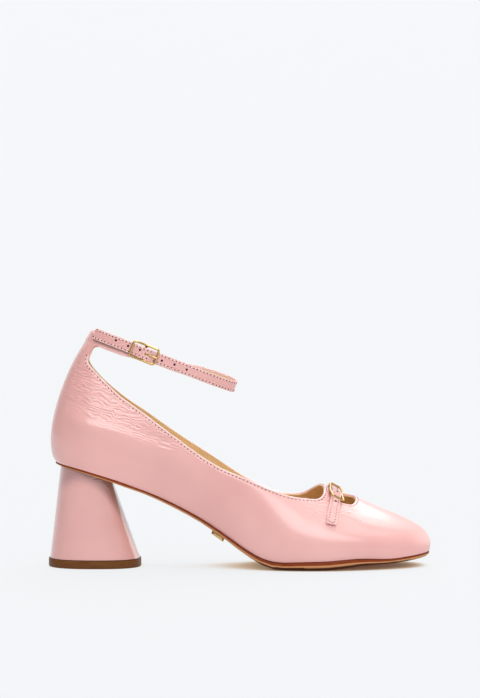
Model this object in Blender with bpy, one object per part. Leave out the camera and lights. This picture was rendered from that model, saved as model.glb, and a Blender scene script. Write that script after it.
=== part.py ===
"""Block heel pump for the right foot, with an ankle strap and a small buckled strap over the vamp.

The shoe stands on its heel and forefoot with +Z up. The toe points to +X and the outer side of
the foot faces -Y. Sizes and tables are in millimetres from the back of the heel seat, and MM
turns them into metres where a mesh is made.
"""

import math

import bmesh
import bpy
import numpy as np

MM = 0.001
GAP = 0.3               # clearance between two pieces that meet

# Colours, roughness and metallic value of each finish
FINISHES = {
    "pink_leather": ((0.79, 0.46, 0.43), 0.32, 0.0),
    "sole_leather": ((0.29, 0.09, 0.03), 0.55, 0.0),
    "tip_rubber": ((0.13, 0.06, 0.03), 0.65, 0.0),
    "sock_leather": ((0.55, 0.35, 0.19), 0.60, 0.0),
    "pale_gold": ((0.83, 0.62, 0.30), 0.25, 1.0),
}

# Sole, along the shoe: tread height, side edge, and the bevel's height and inset
SOLE_COLUMNS = ("x", "tread_z", "edge", "bevel", "bevel_in")
SOLE_ROWS = (
    (4.0, 63.0, 1.8, 0.2, 0.8),
    (20.0, 59.3, 1.8, 0.2, 0.8),
    (40.0, 53.0, 1.9, 0.3, 1.0),
    (62.0, 43.8, 2.2, 0.6, 1.5),
    (92.0, 28.2, 2.6, 0.9, 2.5),
    (107.0, 18.0, 2.8, 1.2, 3.5),
    (122.0, 7.2, 2.8, 1.6, 5.0),
    (132.0, 1.9, 2.7, 1.9, 6.0),
    (141.0, 0.0, 2.7, 2.1, 6.0),
    (166.0, 0.0, 3.0, 2.7, 6.0),
    (182.0, 1.3, 2.9, 2.5, 6.0),
    (198.0, 3.8, 2.3, 1.7, 5.5),
    (214.0, 6.2, 1.8, 1.2, 4.5),
    (233.0, 8.6, 1.7, 1.0, 3.0),
)
SOLE_OUT = 1.1          # how far the sole's edge stands out past the upper's foot
INSOLE_IN = 3.0         # insole edge, inside the upper's foot line
INSOLE_THICK = 1.8

# Upper: one row for each wall line from the back seam to the toe. A wall line is a cubic curve:
# it leaves the foot outwards and upwards by the belly and reaches the head past the brow.
# The two sides share a row: lat is the outer side, med the inner side, and med_dx and med_dz
# shift the inner side's head.
UPPER_COLUMNS = ("foot_x", "foot_lat", "foot_med", "belly_out", "belly_up", "brow_x", "brow_out",
                 "brow_z", "head_x", "head_lat", "head_med", "head_z", "med_dx", "med_dz")
UPPER_ROWS = (
    (4.2, 0.0, 0.0, 10.4, 6.0, -12.3, 0.0, -23.0, 14.7, 0.0, 0.0, 128.2, 0.0, 0.0),       # back seam
    (7.0, 9.8, 9.8, 9.5, 6.8, -10.4, 1.2, -22.1, 18.1, 9.2, 9.2, 128.0, 0.0, 0.0),
    (12.2, 16.9, 16.9, 8.0, 8.5, -7.4, 2.3, -19.6, 20.7, 12.0, 12.0, 128.0, 0.0, 0.0),
    (19.0, 21.8, 21.8, 6.8, 13.0, -4.0, 3.0, -18.0, 22.7, 13.7, 13.7, 127.6, 0.0, 0.0),   # neck
    (26.0, 24.4, 24.4, 5.5, 15.0, -2.0, 4.0, -20.0, 27.5, 17.4, 17.4, 122.0, 0.0, -2.5),
    (40.0, 25.0, 24.6, 4.5, 16.0, 0.0, 4.0, -18.0, 42.9, 22.0, 21.8, 107.0, 0.0, -2.2),
    (58.0, 24.0, 22.0, 4.0, 14.0, 0.0, 3.0, -15.0, 58.0, 25.0, 24.2, 94.8, 0.0, -0.6),
    (78.0, 23.2, 18.6, 4.5, 13.0, 0.0, 2.5, -12.0, 78.0, 27.3, 25.8, 79.2, 0.0, 0.7),
    (100.0, 24.8, 17.8, 5.0, 12.0, 0.0, 2.5, -10.0, 101.0, 29.2, 27.0, 66.6, -1.0, -1.0),
    (122.0, 30.0, 22.5, 4.5, 12.0, -1.0, 3.0, -9.0, 123.5, 30.2, 28.2, 55.2, -4.0, -2.6),
    (144.0, 35.6, 30.0, 4.0, 12.0, -2.0, 6.0, -8.0, 147.5, 28.2, 27.2, 45.6, -8.0, -2.0),
    (164.0, 37.6, 35.0, 4.0, 12.5, 0.0, 8.0, -5.5, 163.8, 24.2, 23.8, 43.2, -10.8, -0.8),  # bridge back
    (186.0, 34.4, 34.6, 4.0, 12.5, 5.0, 10.0, -8.0, 179.5, 18.6, 18.6, 40.4, 0.0, 2.5),   # bridge front
    (208.0, 27.0, 28.6, 4.5, 12.0, 14.0, 10.0, -9.5, 185.6, 12.4, 12.6, 38.8, 0.0, 3.8),  # keyhole side
    (226.5, 17.3, 20.1, 6.4, 12.0, 22.0, 6.0, -10.5, 188.0, 6.2, 6.6, 40.0, 0.0, 2.4),
    (234.3, -1.5, 1.5, 6.9, 12.5, 24.0, 0.0, -10.5, 188.6, 0.0, 0.0, 41.4, 0.0, 0.0),     # toe tip
)
UPPER_THICK = 1.8

# Tab that stands on the back of the wall: the top of each wall line from the back seam to the neck
TAB_COLUMNS = ("top_x", "top_y", "top_z")
TAB_ROWS = (
    (21.5, 0.0, 139.1),
    (23.6, 8.8, 138.3),
    (24.8, 11.5, 137.8),
    (25.7, 13.2, 137.4),
)
TAB_LEAN = 0.6          # forward lean of the tab at its top
TAB_TIERS = 3           # rows of faces from neck to top
UPPER_STEPS = 3         # columns of faces between two wall lines
UPPER_TIERS = 10        # rows of faces from foot to head
BRIDGE_BACK = 11        # row numbers where the vamp bridge starts and ends
BRIDGE_FRONT = 12
BRIDGE_SPANS = 10       # faces across the bridge
BRIDGE_HANDLE = (19.5, 8.8)   # length of the bridge curve's handles at its back and front edges
BRIDGE_PINCH = (9.6, -3.0)    # how far the middle of those edges moves towards the toe

# Block heel: rounded outlines at the seat and the floor, with squareness of the back and front half
HEEL_COLUMNS = ("level", "centre_x", "half_length", "half_width", "back_power", "front_power")
HEEL_ROWS = (
    (1.0, 22.0, 15.8, 21.5, 2.3, 3.6),
    (0.0, 27.3, 27.8, 23.6, 2.4, 2.6),
)
HEEL_TIERS = 4
HEEL_SIDES = 44
TIP_HEIGHT = 5.0
TIP_OUT = 0.8           # how far the tip stands out past the heel
TIP_BEVEL = 0.5

# Small plain plate under the waist
PLATE_CENTRE = (104.0, -8.0)
PLATE_LENGTH = 9.0
PLATE_WIDTH = 14.0
PLATE_CORNER = 2.0
PLATE_THICK = 1.6
PLATE_GAP = 0.4         # above the plate, whose flat top lies under a curved sole

# Ankle loop: a plane that falls towards the toe. p runs forward in it, q to the inner side, and
# off stands square to it. The route starts at the buckle's bar, passes the back, the inner side
# and the front, and comes back over its own start as the tail.
LOOP_ORIGIN = (23.6, 0.0, 145.7)
LOOP_PITCH = math.radians(21.2)
STRAP_WIDTH = 7.0
STRAP_SLOT = 1.6        # width of the prong's slot and hole
STRAP_END_WIDTH = 5.2   # end of the tail
STRAP_STEP = 3.2        # longest face along the strap
LONG_THICK = 1.4
HOOK_THICK = 0.6
LAYER_STEP = 1.45       # from the short layer's middle to the tail's middle
SHORT_COLUMNS = ("p", "q", "off", "width", "thick", "tail_off")
SHORT_ROWS = (
    (34.4, -21.6, 0.4, 6.1, 0.75, 0.0),
    (29.7, -21.95, -1.4, 7.0, 0.9, 0.0),
    (25.0, -21.3, -2.2, 7.0, 0.9, 1.0),
    (20.0, -19.8, -2.5, 7.0, 0.9, 0.9),
    (14.5, -17.2, -2.7, 7.0, 0.9, 0.7),
)
TAIL_FIRST_ROW = 2      # first short row with the tail over it
BACK_CENTRE_P = 17.3
BACK_RADIUS = 16.15
BACK_OFF = -2.9
BACK_COLUMNS = ("turn", "lean", "thick")
BACK_ROWS = (
    (237.0, 0.0, 0.9),
    (218.0, 0.06, 0.9),
    (199.0, 0.16, 0.9),
    (180.0, 0.2, 0.9),
    (161.0, 0.16, 1.4),
    (142.0, 0.06, 1.4),
    (123.0, 0.0, 1.4),
)
LOOP_COLUMNS = ("p", "q", "off")
LOOP_ROWS = (
    (15.5, 17.8, -3.0),
    (25.0, 20.3, -3.1),
    (38.0, 21.6, -3.2),
    (52.0, 20.8, -3.0),
    (68.0, 18.3, -2.4),
    (81.0, 14.2, -1.15),
    (90.0, 9.6, -0.6),
    (95.6, 4.6, -0.2),
    (96.8, 0.0, -0.1),
    (94.5, -5.0, 0.0),
    (88.5, -9.8, 0.0),
    (78.5, -14.8, 0.2),
    (66.0, -19.0, 0.5),
    (55.0, -21.7, 0.7),
)
TAIL_COLUMNS = ("turn", "off", "lean")
TAIL_ROWS = ((239.0, 0.5, 0.0), (232.0, 0.35, 0.02), (225.0, 0.2, 0.04))

# Centre-bar buckles: sizes along the strap (length), across it and away from it (rise)
WIRE_SIDES = 12
ANKLE_BUCKLE_P = 36.6
ANKLE_BAR_Q = -22.4
BAR_RADIUS = 0.5
FRAME_RADIUS = 0.6
FRAME_HALF_LENGTH = 7.8
FRAME_HALF_WIDTH = 4.6
FRAME_CORNER = 1.6
FRAME_STEP = 2.0        # longest face along the frame
ANKLE_FRAME_RISE = 2.4  # frame ends above the bar
ANKLE_SIDE_RISE = 0.7   # middle of the frame's long sides above the bar
TAIL_RISE = 0.9         # tail's middle above the bar, away from the buckle
TAIL_BULGE = 1.55       # how far the tail lifts over the bar
BULGE_HALF_LENGTH = 6.0
TAIL_LENGTHS = (10.0, 6.0, 4.3, 2.4, 0.5, -1.7, -3.6, -6.0)   # tail's stops, forward of the bar
HOLE_RANGE = (0.5, 4.3) # prong's hole in the tail, forward of the bar
HOOK_RADIUS = 1.0
HOOK_WIDTH = 5.2
HOOK_OFF = 0.6          # middle of the hook, tail, frame and prong above the loop's plane
TAIL_OFF = 0.85
FRAME_OFF = 1.1
PRONG_OFF = 0.72
HOOK_TURNS = (150.0, 110.0, 70.0, 30.0, -10.0, -50.0, -90.0)
PRONG_RADIUS = 0.45
PRONG_LOOP = 1.15
PRONG_LOOP_TURNS = (-30.0, -70.0, -110.0, -150.0, -190.0, -230.0, -270.0)
PRONG_COLUMNS = ("length", "rise")
PRONG_ROWS = ((0.6, 1.15), (3.5, 2.3), (7.0, 3.5), (8.0, 3.68), (9.0, 3.55))

# Vamp strap: its middle line over the upper. A stop is on the inner wall or the outer wall at a
# height of 0 at the foot to 1 at the head, or on the bridge at 0 for its outer to 1 for its inner end.
VAMP_COLUMNS = ("on", "at", "x")
VAMP_ROWS = (
    ("inner", 0.82, 173.6),
    ("inner", 0.97, 173.8),
    ("bridge", 0.9, 173.9),
    ("bridge", 0.5, 174.2),
    ("bridge", 0.15, 175.3),
    ("outer", 0.95, 174.9),
    ("outer", 0.54, 172.5),
)
VAMP_WIDTH = 6.5
VAMP_THICK = 1.4
VAMP_LIFT = 0.45        # clearance under the strap
VAMP_TAIL_LIFT = 0.5    # extra lift at the tail's end
VAMP_TAIL_CURL = 8.0    # length of the tail that lifts
VAMP_STATIONS = 30
VAMP_REACH = 1.5        # half the length over which the strap's direction is measured
VAMP_BUCKLE_Y = -13.6
VAMP_FRAME_HALF_LENGTH = 8.2
VAMP_FRAME_HALF_WIDTH = 4.3
VAMP_BAR_RISE = 0.95
VAMP_SIDE_RISE = 1.7
VAMP_FRAME_RISE = 2.45
VAMP_BULGE = 1.15

CURVE_STEP = 0.02       # step along a curve's number for reading its direction
CURVE_SAMPLES = 81
SPAN_SAMPLES = 12


def clear_scene():
    for item in list(bpy.data.objects):
        bpy.data.objects.remove(item)


def records(columns, rows):
    """Table rows as dictionaries by column name."""
    return [dict(zip(columns, row)) for row in rows]


def unit(vector):
    vector = np.asarray(vector, float)
    return vector / np.linalg.norm(vector)


def finish(name):
    """Material of one finish, made once."""
    material = bpy.data.materials.get(name)
    if material:
        return material
    colour, roughness, metallic = FINISHES[name]
    material = bpy.data.materials.new(name)
    material.use_nodes = True
    shader = material.node_tree.nodes["Principled BSDF"]
    shader.inputs["Base Color"].default_value = (*colour, 1.0)
    shader.inputs["Roughness"].default_value = roughness
    shader.inputs["Metallic"].default_value = metallic
    material.diffuse_color = (*colour, 1.0)
    return material


def add_body(name, points, faces, finish_name, closed=True, sharp_angle=40.0):
    """Object from points in millimetres; a closed body gets its faces pointing out."""
    mesh = bpy.data.meshes.new(name)
    mesh.from_pydata([tuple(np.asarray(point, float) * MM) for point in points], [], faces)
    if closed:
        shape = bmesh.new()
        shape.from_mesh(mesh)
        bmesh.ops.recalc_face_normals(shape, faces=shape.faces)
        shape.to_mesh(mesh)
        shape.free()
    mesh.shade_smooth()
    mesh.set_sharp_from_angle(angle=math.radians(sharp_angle))
    mesh.materials.append(finish(finish_name))
    body = bpy.data.objects.new(name, mesh)
    bpy.context.scene.collection.objects.link(body)
    return body


def spline(points, closed=False):
    """Smooth curve through points, read at a fractional point number."""
    points = np.asarray(points, float)
    count = len(points)
    if closed:
        before, after = points[-1], points[:2]
    else:
        before, after = 2.0 * points[0] - points[1], [2.0 * points[-1] - points[-2]]
    padded = np.vstack([before, points, after])
    gaps = np.diff(padded, axis=0)
    steps = np.sqrt(np.linalg.norm(gaps, axis=1))[:, None]
    slopes = (gaps[:-1] / steps[:-1] - (gaps[:-1] + gaps[1:]) / (steps[:-1] + steps[1:])
              + gaps[1:] / steps[1:])

    def at(number):
        start = math.floor(number)
        if not closed:
            start = min(max(start, 0), count - 2)
        u = number - start
        i = start % count
        span = steps[i + 1]
        first, last = padded[i + 1], padded[i + 2]
        leave, reach = slopes[i] * span, slopes[i + 1] * span
        square, cube = u * u, u * u * u
        return ((2 * cube - 3 * square + 1) * first + (cube - 2 * square + u) * leave
                + (3 * square - 2 * cube) * last + (cube - square) * reach)

    return at


def monotone(xs, ys):
    """Smooth curve y(x) through a table, with no overshoot between rows."""
    xs, ys = np.asarray(xs, float), np.asarray(ys, float)
    steps = np.diff(xs)
    rises = np.diff(ys) / steps
    slopes = np.zeros_like(ys)
    for i in range(1, len(xs) - 1):
        if rises[i - 1] * rises[i] > 0.0:
            near, far = 2 * steps[i] + steps[i - 1], steps[i] + 2 * steps[i - 1]
            slopes[i] = (near + far) / (near / rises[i - 1] + far / rises[i])
    slopes[0], slopes[-1] = rises[0], rises[-1]

    def at(x):
        i = int(np.clip(np.searchsorted(xs, x) - 1, 0, len(steps) - 1))
        u = min(max((x - xs[i]) / steps[i], 0.0), 1.0)
        square, cube = u * u, u * u * u
        return ((2 * cube - 3 * square + 1) * ys[i] + (cube - 2 * square + u) * steps[i] * slopes[i]
                + (3 * square - 2 * cube) * ys[i + 1] + (cube - square) * steps[i] * slopes[i + 1])

    return at


def sole_curve(column):
    rows = records(SOLE_COLUMNS, SOLE_ROWS)
    return monotone([row["x"] for row in rows], [row[column] for row in rows])


tread_z = sole_curve("tread_z")
edge_height = sole_curve("edge")
bevel_height = sole_curve("bevel")
bevel_inset = sole_curve("bevel_in")


def feather_z(x):
    """Top of the sole, where the upper's foot meets it."""
    return tread_z(x) + bevel_height(x) + edge_height(x)


def cubic(first, leave, reach, last, u):
    """Point of a cubic Bezier curve."""
    v = 1.0 - u
    return v ** 3 * first + 3 * v * v * u * leave + 3 * v * u * u * reach + u ** 3 * last


def plan_normals(loop):
    """Outward level directions of a closed loop that runs back, outer side, toe, inner side."""
    along = np.roll(loop, -1, axis=0) - np.roll(loop, 1, axis=0)
    out = np.column_stack([along[:, 1], -along[:, 0], np.zeros(len(loop))])
    return out / np.linalg.norm(out, axis=1)[:, None]


def upper_loops():
    """Foot, belly, brow, shelf and collar loops of the wall lines, as closed curves.

    The shelf passes under the tab, and the collar leaves the neck in line with the tab's side.
    """
    rows = records(UPPER_COLUMNS, UPPER_ROWS)
    lines = [(row, -1.0) for row in rows] + [(row, 1.0) for row in reversed(rows[1:-1])]
    feet, heads, brows = [], [], []
    for row, side in lines:
        inner = side > 0.0
        foot_y = side * row["foot_med" if inner else "foot_lat"]
        feet.append((row["foot_x"], foot_y, feather_z(row["foot_x"]) + GAP))
        head = np.array((row["head_x"], side * row["head_med" if inner else "head_lat"], row["head_z"]))
        if inner:
            head += (row["med_dx"], 0.0, row["med_dz"])
        heads.append(head)
        brows.append(head + (row["brow_x"], side * row["brow_out"], row["brow_z"]))
    collars = list(heads)
    corner = records(TAB_COLUMNS, TAB_ROWS)[-1]
    for line, side in ((TAB_LINE - 1, -1.0), (len(lines) - TAB_LINE + 1, 1.0)):
        collars[line] = np.array((corner["top_x"], side * corner["top_y"], corner["top_z"]))
    feet = np.array(feet)
    out = np.array([row["belly_out"] for row, side in lines])[:, None]
    up = np.array([(0.0, 0.0, row["belly_up"]) for row, side in lines])
    bellies = feet + plan_normals(feet) * out + up
    return [spline(loop, closed=True) for loop in (feet, bellies, brows, heads, collars)]


LINES = 2 * (len(UPPER_ROWS) - 1)
TAB_LINE = len(TAB_ROWS) - 1
foot_at, belly_at, brow_at, shelf_at, collar_at = upper_loops()
COLUMNS = LINES * UPPER_STEPS


def head_at(line):
    """Upper end of a wall line: on the collar, or under the tab."""
    under_tab = min(line % LINES, -line % LINES) <= TAB_LINE
    return shelf_at(line) if under_tab else collar_at(line)


def foot_point(line):
    """Point of the upper's foot line, on top of the sole."""
    point = foot_at(line)
    point[2] = feather_z(point[0]) + GAP
    return point


def wall_point(line, height):
    """Point of the upper's outer face: wall line number, and 0 at the foot to 1 at the head."""
    return cubic(foot_point(line), belly_at(line), brow_at(line), head_at(line), height)


def bridge_point(line, across):
    """Point of the vamp bridge: line between its back and front rows, 0 outer side to 1 inner side."""
    share = line - BRIDGE_BACK
    handle = BRIDGE_HANDLE[0] + share * (BRIDGE_HANDLE[1] - BRIDGE_HANDLE[0])
    pinch = BRIDGE_PINCH[0] + share * (BRIDGE_PINCH[1] - BRIDGE_PINCH[0])
    ends = [head_at(line), head_at(LINES - line)]
    rises = []
    for end, brow in zip(ends, (brow_at(line), brow_at(LINES - line))):
        rise = end - brow
        rise[0] = 0.0
        rises.append(end + unit(rise) * handle)
    point = cubic(ends[0], rises[0], rises[1], ends[1], across)
    point[0] = ends[0][0] + across * (ends[1][0] - ends[0][0])
    point[0] += pinch * math.sqrt(max(0.0, 1.0 - (1.0 - 2.0 * across) ** 2))
    return point


def tab_top():
    """Top edge of the tab, from the inner side's neck to the outer side's."""
    rows = records(TAB_COLUMNS, TAB_ROWS)
    sides = [(row, 1.0) for row in reversed(rows)] + [(row, -1.0) for row in rows[1:]]
    return spline([(row["top_x"], side * row["top_y"], row["top_z"]) for row, side in sides])


top_at = tab_top()


def tab_point(line, height):
    """Point of the tab's outer face: line from -TAB_LINE on the inner side, and 0 to 1 upwards."""
    head, top = head_at(line), top_at(line + TAB_LINE)
    reach = np.linalg.norm(top - head) / 3.0
    leave = head + unit(head - brow_at(line)) * reach
    return cubic(head, leave, top - unit((TAB_LEAN, 0.0, 1.0)) * reach, top, height)


def make_upper():
    """One hollow wall with the bridge over the vamp; it is open at the collar, keyhole and foot."""
    tiers = UPPER_TIERS + 1
    points = []
    for column in range(COLUMNS):
        points += [wall_point(column / UPPER_STEPS, tier / UPPER_TIERS) for tier in range(tiers)]

    def wall(column, tier):
        return column % COLUMNS * tiers + tier

    faces = [(wall(column, tier), wall(column + 1, tier), wall(column + 1, tier + 1), wall(column, tier + 1))
             for column in range(COLUMNS) for tier in range(UPPER_TIERS)]
    tab_edge = TAB_LINE * UPPER_STEPS
    tab = []
    for column in range(-tab_edge, tab_edge + 1):
        rise = [wall(column, UPPER_TIERS)]
        for tier in range(1, TAB_TIERS + 1):
            rise.append(len(points))
            points.append(tab_point(column / UPPER_STEPS, tier / TAB_TIERS))
        tab.append(rise)
    for this, following in zip(tab, tab[1:]):
        for tier in range(TAB_TIERS):
            faces.append((this[tier], following[tier], following[tier + 1], this[tier + 1]))
    strips = []
    for column in range(BRIDGE_BACK * UPPER_STEPS, BRIDGE_FRONT * UPPER_STEPS + 1):
        strip = [wall(column, UPPER_TIERS)]
        for span in range(1, BRIDGE_SPANS):
            strip.append(len(points))
            across = 0.5 - 0.5 * math.cos(math.pi * span / BRIDGE_SPANS)
            points.append(bridge_point(column / UPPER_STEPS, across))
        strip.append(wall(COLUMNS - column, UPPER_TIERS))
        strips.append(strip)
    for back, front in zip(strips, strips[1:]):
        for span in range(BRIDGE_SPANS):
            faces.append((back[span], front[span], front[span + 1], back[span + 1]))
    upper = add_body("upper", points, faces, "pink_leather", closed=False)
    wall_thickness = upper.modifiers.new("wall", "SOLIDIFY")
    wall_thickness.thickness = UPPER_THICK * MM
    wall_thickness.offset = -1.0
    wall_thickness.use_quality_normals = True


def sole_outline(outset):
    """Closed plan outline at a distance outside the upper's foot line."""
    loop = np.array([foot_point(column / UPPER_STEPS) for column in range(COLUMNS)])
    return loop + plan_normals(loop) * np.reshape(outset, (-1, 1))


def stacked_rings(rings):
    """Faces of a body whose rings run from top to bottom, capped by strips from side to side."""
    count = len(rings[0])
    points = [point for ring in rings for point in ring]
    faces = []
    for level in range(len(rings) - 1):
        upper_ring, lower_ring = level * count, (level + 1) * count
        for i in range(count):
            j = (i + 1) % count
            faces.append((upper_ring + i, upper_ring + j, lower_ring + j, lower_ring + i))
    for base in (0, (len(rings) - 1) * count):
        for i in range(count // 2):
            corners = (i, i + 1, (count - i - 1) % count, (count - i) % count)
            faces.append(tuple(base + corner for corner in dict.fromkeys(corners)))
    return points, faces


def make_outsole():
    """Thin sole with a plain edge above and a bevel below, through arch and toe spring."""
    outline = sole_outline(SOLE_OUT)
    insets = [SOLE_OUT - bevel_inset(point[0]) for point in outline]
    tread_outline = sole_outline(insets)
    top = [(x, y, feather_z(x)) for x, y, z in outline]
    edge = [(x, y, feather_z(x) - edge_height(x)) for x, y, z in outline]
    tread = [(x, y, tread_z(x)) for x, y, z in tread_outline]
    add_body("outsole", *stacked_rings([top, edge, tread]), "sole_leather")


def make_insole():
    """Sock-covered board on the sole, inside the upper's foot."""
    outline = sole_outline(-INSOLE_IN)
    top = [(x, y, feather_z(x) + GAP + INSOLE_THICK) for x, y, z in outline]
    bottom = [(x, y, feather_z(x) + GAP) for x, y, z in outline]
    add_body("insole", *stacked_rings([top, bottom]), "sock_leather")


def heel_outline(level, outset=0.0):
    """Rounded outline of the heel in plan: level 1 at the seat, 0 at the floor end."""
    seat, base = records(HEEL_COLUMNS, HEEL_ROWS)
    row = {key: base[key] + level * (seat[key] - base[key]) for key in HEEL_COLUMNS}
    outline = []
    for side in range(HEEL_SIDES):
        turn = 2.0 * math.pi * side / HEEL_SIDES
        c, s = math.cos(turn), math.sin(turn)
        power = 2.0 / row["front_power" if c > 0.0 else "back_power"]
        x = row["centre_x"] + (row["half_length"] + outset) * math.copysign(abs(c) ** power, c)
        y = (row["half_width"] + outset) * math.copysign(abs(s) ** power, s)
        outline.append((x, y))
    return outline


def make_heel():
    """Leather-covered block, narrow at the seat and flared at the floor, with straight sides."""
    base_z = TIP_HEIGHT + GAP
    seat = [(x, y, tread_z(x) - GAP) for x, y in heel_outline(1.0)]
    base = [(x, y, base_z) for x, y in heel_outline(0.0)]
    rings = []
    for tier in range(HEEL_TIERS + 1):
        share = tier / HEEL_TIERS
        rings.append([tuple((1.0 - share) * np.array(a) + share * np.array(b)) for a, b in zip(seat, base)])
    add_body("heel", *stacked_rings(rings), "pink_leather")


def make_heel_tip():
    """Wearing piece under the heel; its flat underside is the heel's spot on the floor."""
    top = [(x, y, TIP_HEIGHT) for x, y in heel_outline(0.0, TIP_OUT)]
    low = [(x, y, TIP_BEVEL) for x, y in heel_outline(0.0, TIP_OUT)]
    floor = [(x, y, 0.0) for x, y in heel_outline(0.0, TIP_OUT - TIP_BEVEL)]
    add_body("heel_tip", *stacked_rings([top, low, floor]), "tip_rubber")


def rounded_rectangle(half_length, half_width, corner, steps=4):
    """Closed loop of a rectangle with round corners, in its own plane."""
    loop = []
    for quarter in range(4):
        x_side = 1.0 if quarter in (0, 3) else -1.0
        y_side = 1.0 if quarter in (0, 1) else -1.0
        for step in range(steps + 1):
            turn = 0.5 * math.pi * (quarter + step / steps)
            loop.append((x_side * (half_length - corner) + corner * math.cos(turn),
                         y_side * (half_width - corner) + corner * math.sin(turn)))
    return loop


def make_sole_plate():
    """Plain plate that follows the slope under the waist."""
    x, y = PLATE_CENTRE
    loop = rounded_rectangle(0.5 * PLATE_LENGTH, 0.5 * PLATE_WIDTH, PLATE_CORNER)
    reach = 0.5 * PLATE_LENGTH
    slope = (tread_z(x + reach) - tread_z(x - reach)) / PLATE_LENGTH
    along = unit((1.0, 0.0, slope))
    down = unit((slope, 0.0, -1.0))
    middle = np.array((x, y, tread_z(x))) + down * PLATE_GAP
    rings = [[middle + along * a + np.array((0.0, b, 0.0)) + down * depth for a, b in loop]
             for depth in (0.0, PLATE_THICK)]
    count = len(loop)
    faces = [(i, (i + 1) % count, count + (i + 1) % count, count + i) for i in range(count)]
    faces += [tuple(range(count)), tuple(range(count, 2 * count))]
    add_body("sole_plate", rings[0] + rings[1], faces, "pale_gold")


def thick_strip(stations, cells):
    """Body of a flat strap. A station holds middle, across, normal, width, thickness and whether
    the middle cell between it and the next station is left open."""
    columns = len(cells) + 1
    edges = np.concatenate([[0.0], np.cumsum(cells)]) - 0.5 * sum(cells)
    points = []
    for face_side in (0.5, -0.5):
        for station in stations:
            stretch = station["width"] / sum(cells)
            for edge in edges:
                inner = abs(edge) < 0.5 * sum(cells) - 1e-6
                points.append(station["middle"] + station["across"] * edge * (1.0 if inner else stretch)
                              + station["normal"] * face_side * station["thick"])
    under = len(stations) * columns
    middle_cell = len(cells) // 2
    kept = set()
    for row, station in enumerate(stations[:-1]):
        for cell in range(len(cells)):
            if cell != middle_cell or not station["open"]:
                kept.add((row, cell))
    faces = []
    for row, cell in sorted(kept):
        a, b = row * columns + cell, row * columns + cell + 1
        c, d = b + columns, a + columns
        faces.append((a, b, c, d))
        faces.append((under + d, under + c, under + b, under + a))
        for neighbour, (first, last) in (((row - 1, cell), (a, b)), ((row + 1, cell), (c, d)),
                                         ((row, cell - 1), (d, a)), ((row, cell + 1), (b, c))):
            if neighbour not in kept:
                faces.append((last, first, under + first, under + last))
    return points, faces


def loop_place(p, q, off=0.0):
    """Point of the ankle loop's plane in the shoe."""
    c, s = math.cos(LOOP_PITCH), math.sin(LOOP_PITCH)
    return np.array(LOOP_ORIGIN) + p * np.array((c, 0.0, -s)) + q * np.array((0.0, 1.0, 0.0)) \
        + off * np.array((s, 0.0, c))


def buckle_place(length, rise):
    """Place p, q of a point by its length forward of the ankle buckle's bar and its rise from it."""
    return ANKLE_BUCKLE_P + length, ANKLE_BAR_Q - rise


def back_place(turn, outset=0.0):
    """Place p, q on the round back of the ankle loop."""
    radius = BACK_RADIUS + outset
    return BACK_CENTRE_P + radius * math.cos(math.radians(turn)), radius * math.sin(math.radians(turn))


def bulge(length, height, half_length):
    """Lift of a strap over the bar under it."""
    if abs(length) >= half_length:
        return 0.0
    return height * 0.5 * (1.0 + math.cos(math.pi * length / half_length))


def ankle_route():
    """Stations along the ankle strap, from the hook round the bar to the end of the tail."""
    route = []

    def add(p, q, off, thick, width=STRAP_WIDTH, lean=0.0, opened=False, split=True):
        route.append({"place": (p, q, off), "thick": thick, "width": width, "lean": lean,
                      "open": opened, "split": split})

    for turn in HOOK_TURNS:
        angle = math.radians(turn)
        p, q = buckle_place(HOOK_RADIUS * math.cos(angle), HOOK_RADIUS * math.sin(angle))
        add(p, q, HOOK_OFF, HOOK_THICK, HOOK_WIDTH, opened=True, split=False)
    shorts = records(SHORT_COLUMNS, SHORT_ROWS)
    for row in shorts:
        add(row["p"], row["q"], row["off"], row["thick"], row["width"])
    for row in records(BACK_COLUMNS, BACK_ROWS):
        add(*back_place(row["turn"]), BACK_OFF, row["thick"], lean=row["lean"])
    for row in records(LOOP_COLUMNS, LOOP_ROWS):
        add(row["p"], row["q"], row["off"], LONG_THICK)
    first, last = HOLE_RANGE
    for length in TAIL_LENGTHS:
        p, q = buckle_place(length, TAIL_RISE + bulge(length, TAIL_BULGE, BULGE_HALF_LENGTH))
        add(p, q, TAIL_OFF, LONG_THICK, opened=first < length <= last)
    places = [(row["p"], row["q"]) for row in shorts] + [back_place(BACK_ROWS[0][0])]
    for number in range(TAIL_FIRST_ROW, len(shorts)):
        along = unit(np.subtract(places[number + 1], places[number - 1]))
        p, q = places[number]
        add(p - LAYER_STEP * along[1], q + LAYER_STEP * along[0], shorts[number]["tail_off"], LONG_THICK)
    for row in records(TAIL_COLUMNS, TAIL_ROWS):
        add(*back_place(row["turn"], LAYER_STEP), row["off"], LONG_THICK, lean=row["lean"])
    return route


def make_ankle_strap():
    """One long strap, split round the buckle's bar, lapped over itself as the tail."""
    route = ankle_route()
    path = spline([loop_place(*stop["place"]) for stop in route])
    stations = []
    for number, stop in enumerate(route):
        final = number == len(route) - 1
        after = route[number if final else number + 1]
        length = np.linalg.norm(path(min(number + 1, len(route) - 1)) - path(number))
        pieces = max(1, math.ceil(length / STRAP_STEP)) if stop["split"] else 1
        for piece in range(1 if final else pieces):
            share = piece / pieces
            at = number + share
            along = unit(path(at + CURVE_STEP) - path(at - CURVE_STEP))
            lean = stop["lean"] + share * (after["lean"] - stop["lean"])
            across = unit(loop_place(lean, 0.0, 1.0) - loop_place(0.0, 0.0, 0.0))
            stations.append({
                "middle": path(at), "across": across, "normal": unit(np.cross(across, along)),
                "thick": stop["thick"] + share * (after["thick"] - stop["thick"]),
                "width": stop["width"] + share * (after["width"] - stop["width"]), "open": stop["open"],
            })
    stations[-1]["width"] = STRAP_END_WIDTH
    side = 0.5 * (STRAP_WIDTH - STRAP_SLOT)
    add_body("ankle_strap", *thick_strip(stations, (side, STRAP_SLOT, side)), "pink_leather")


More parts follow.
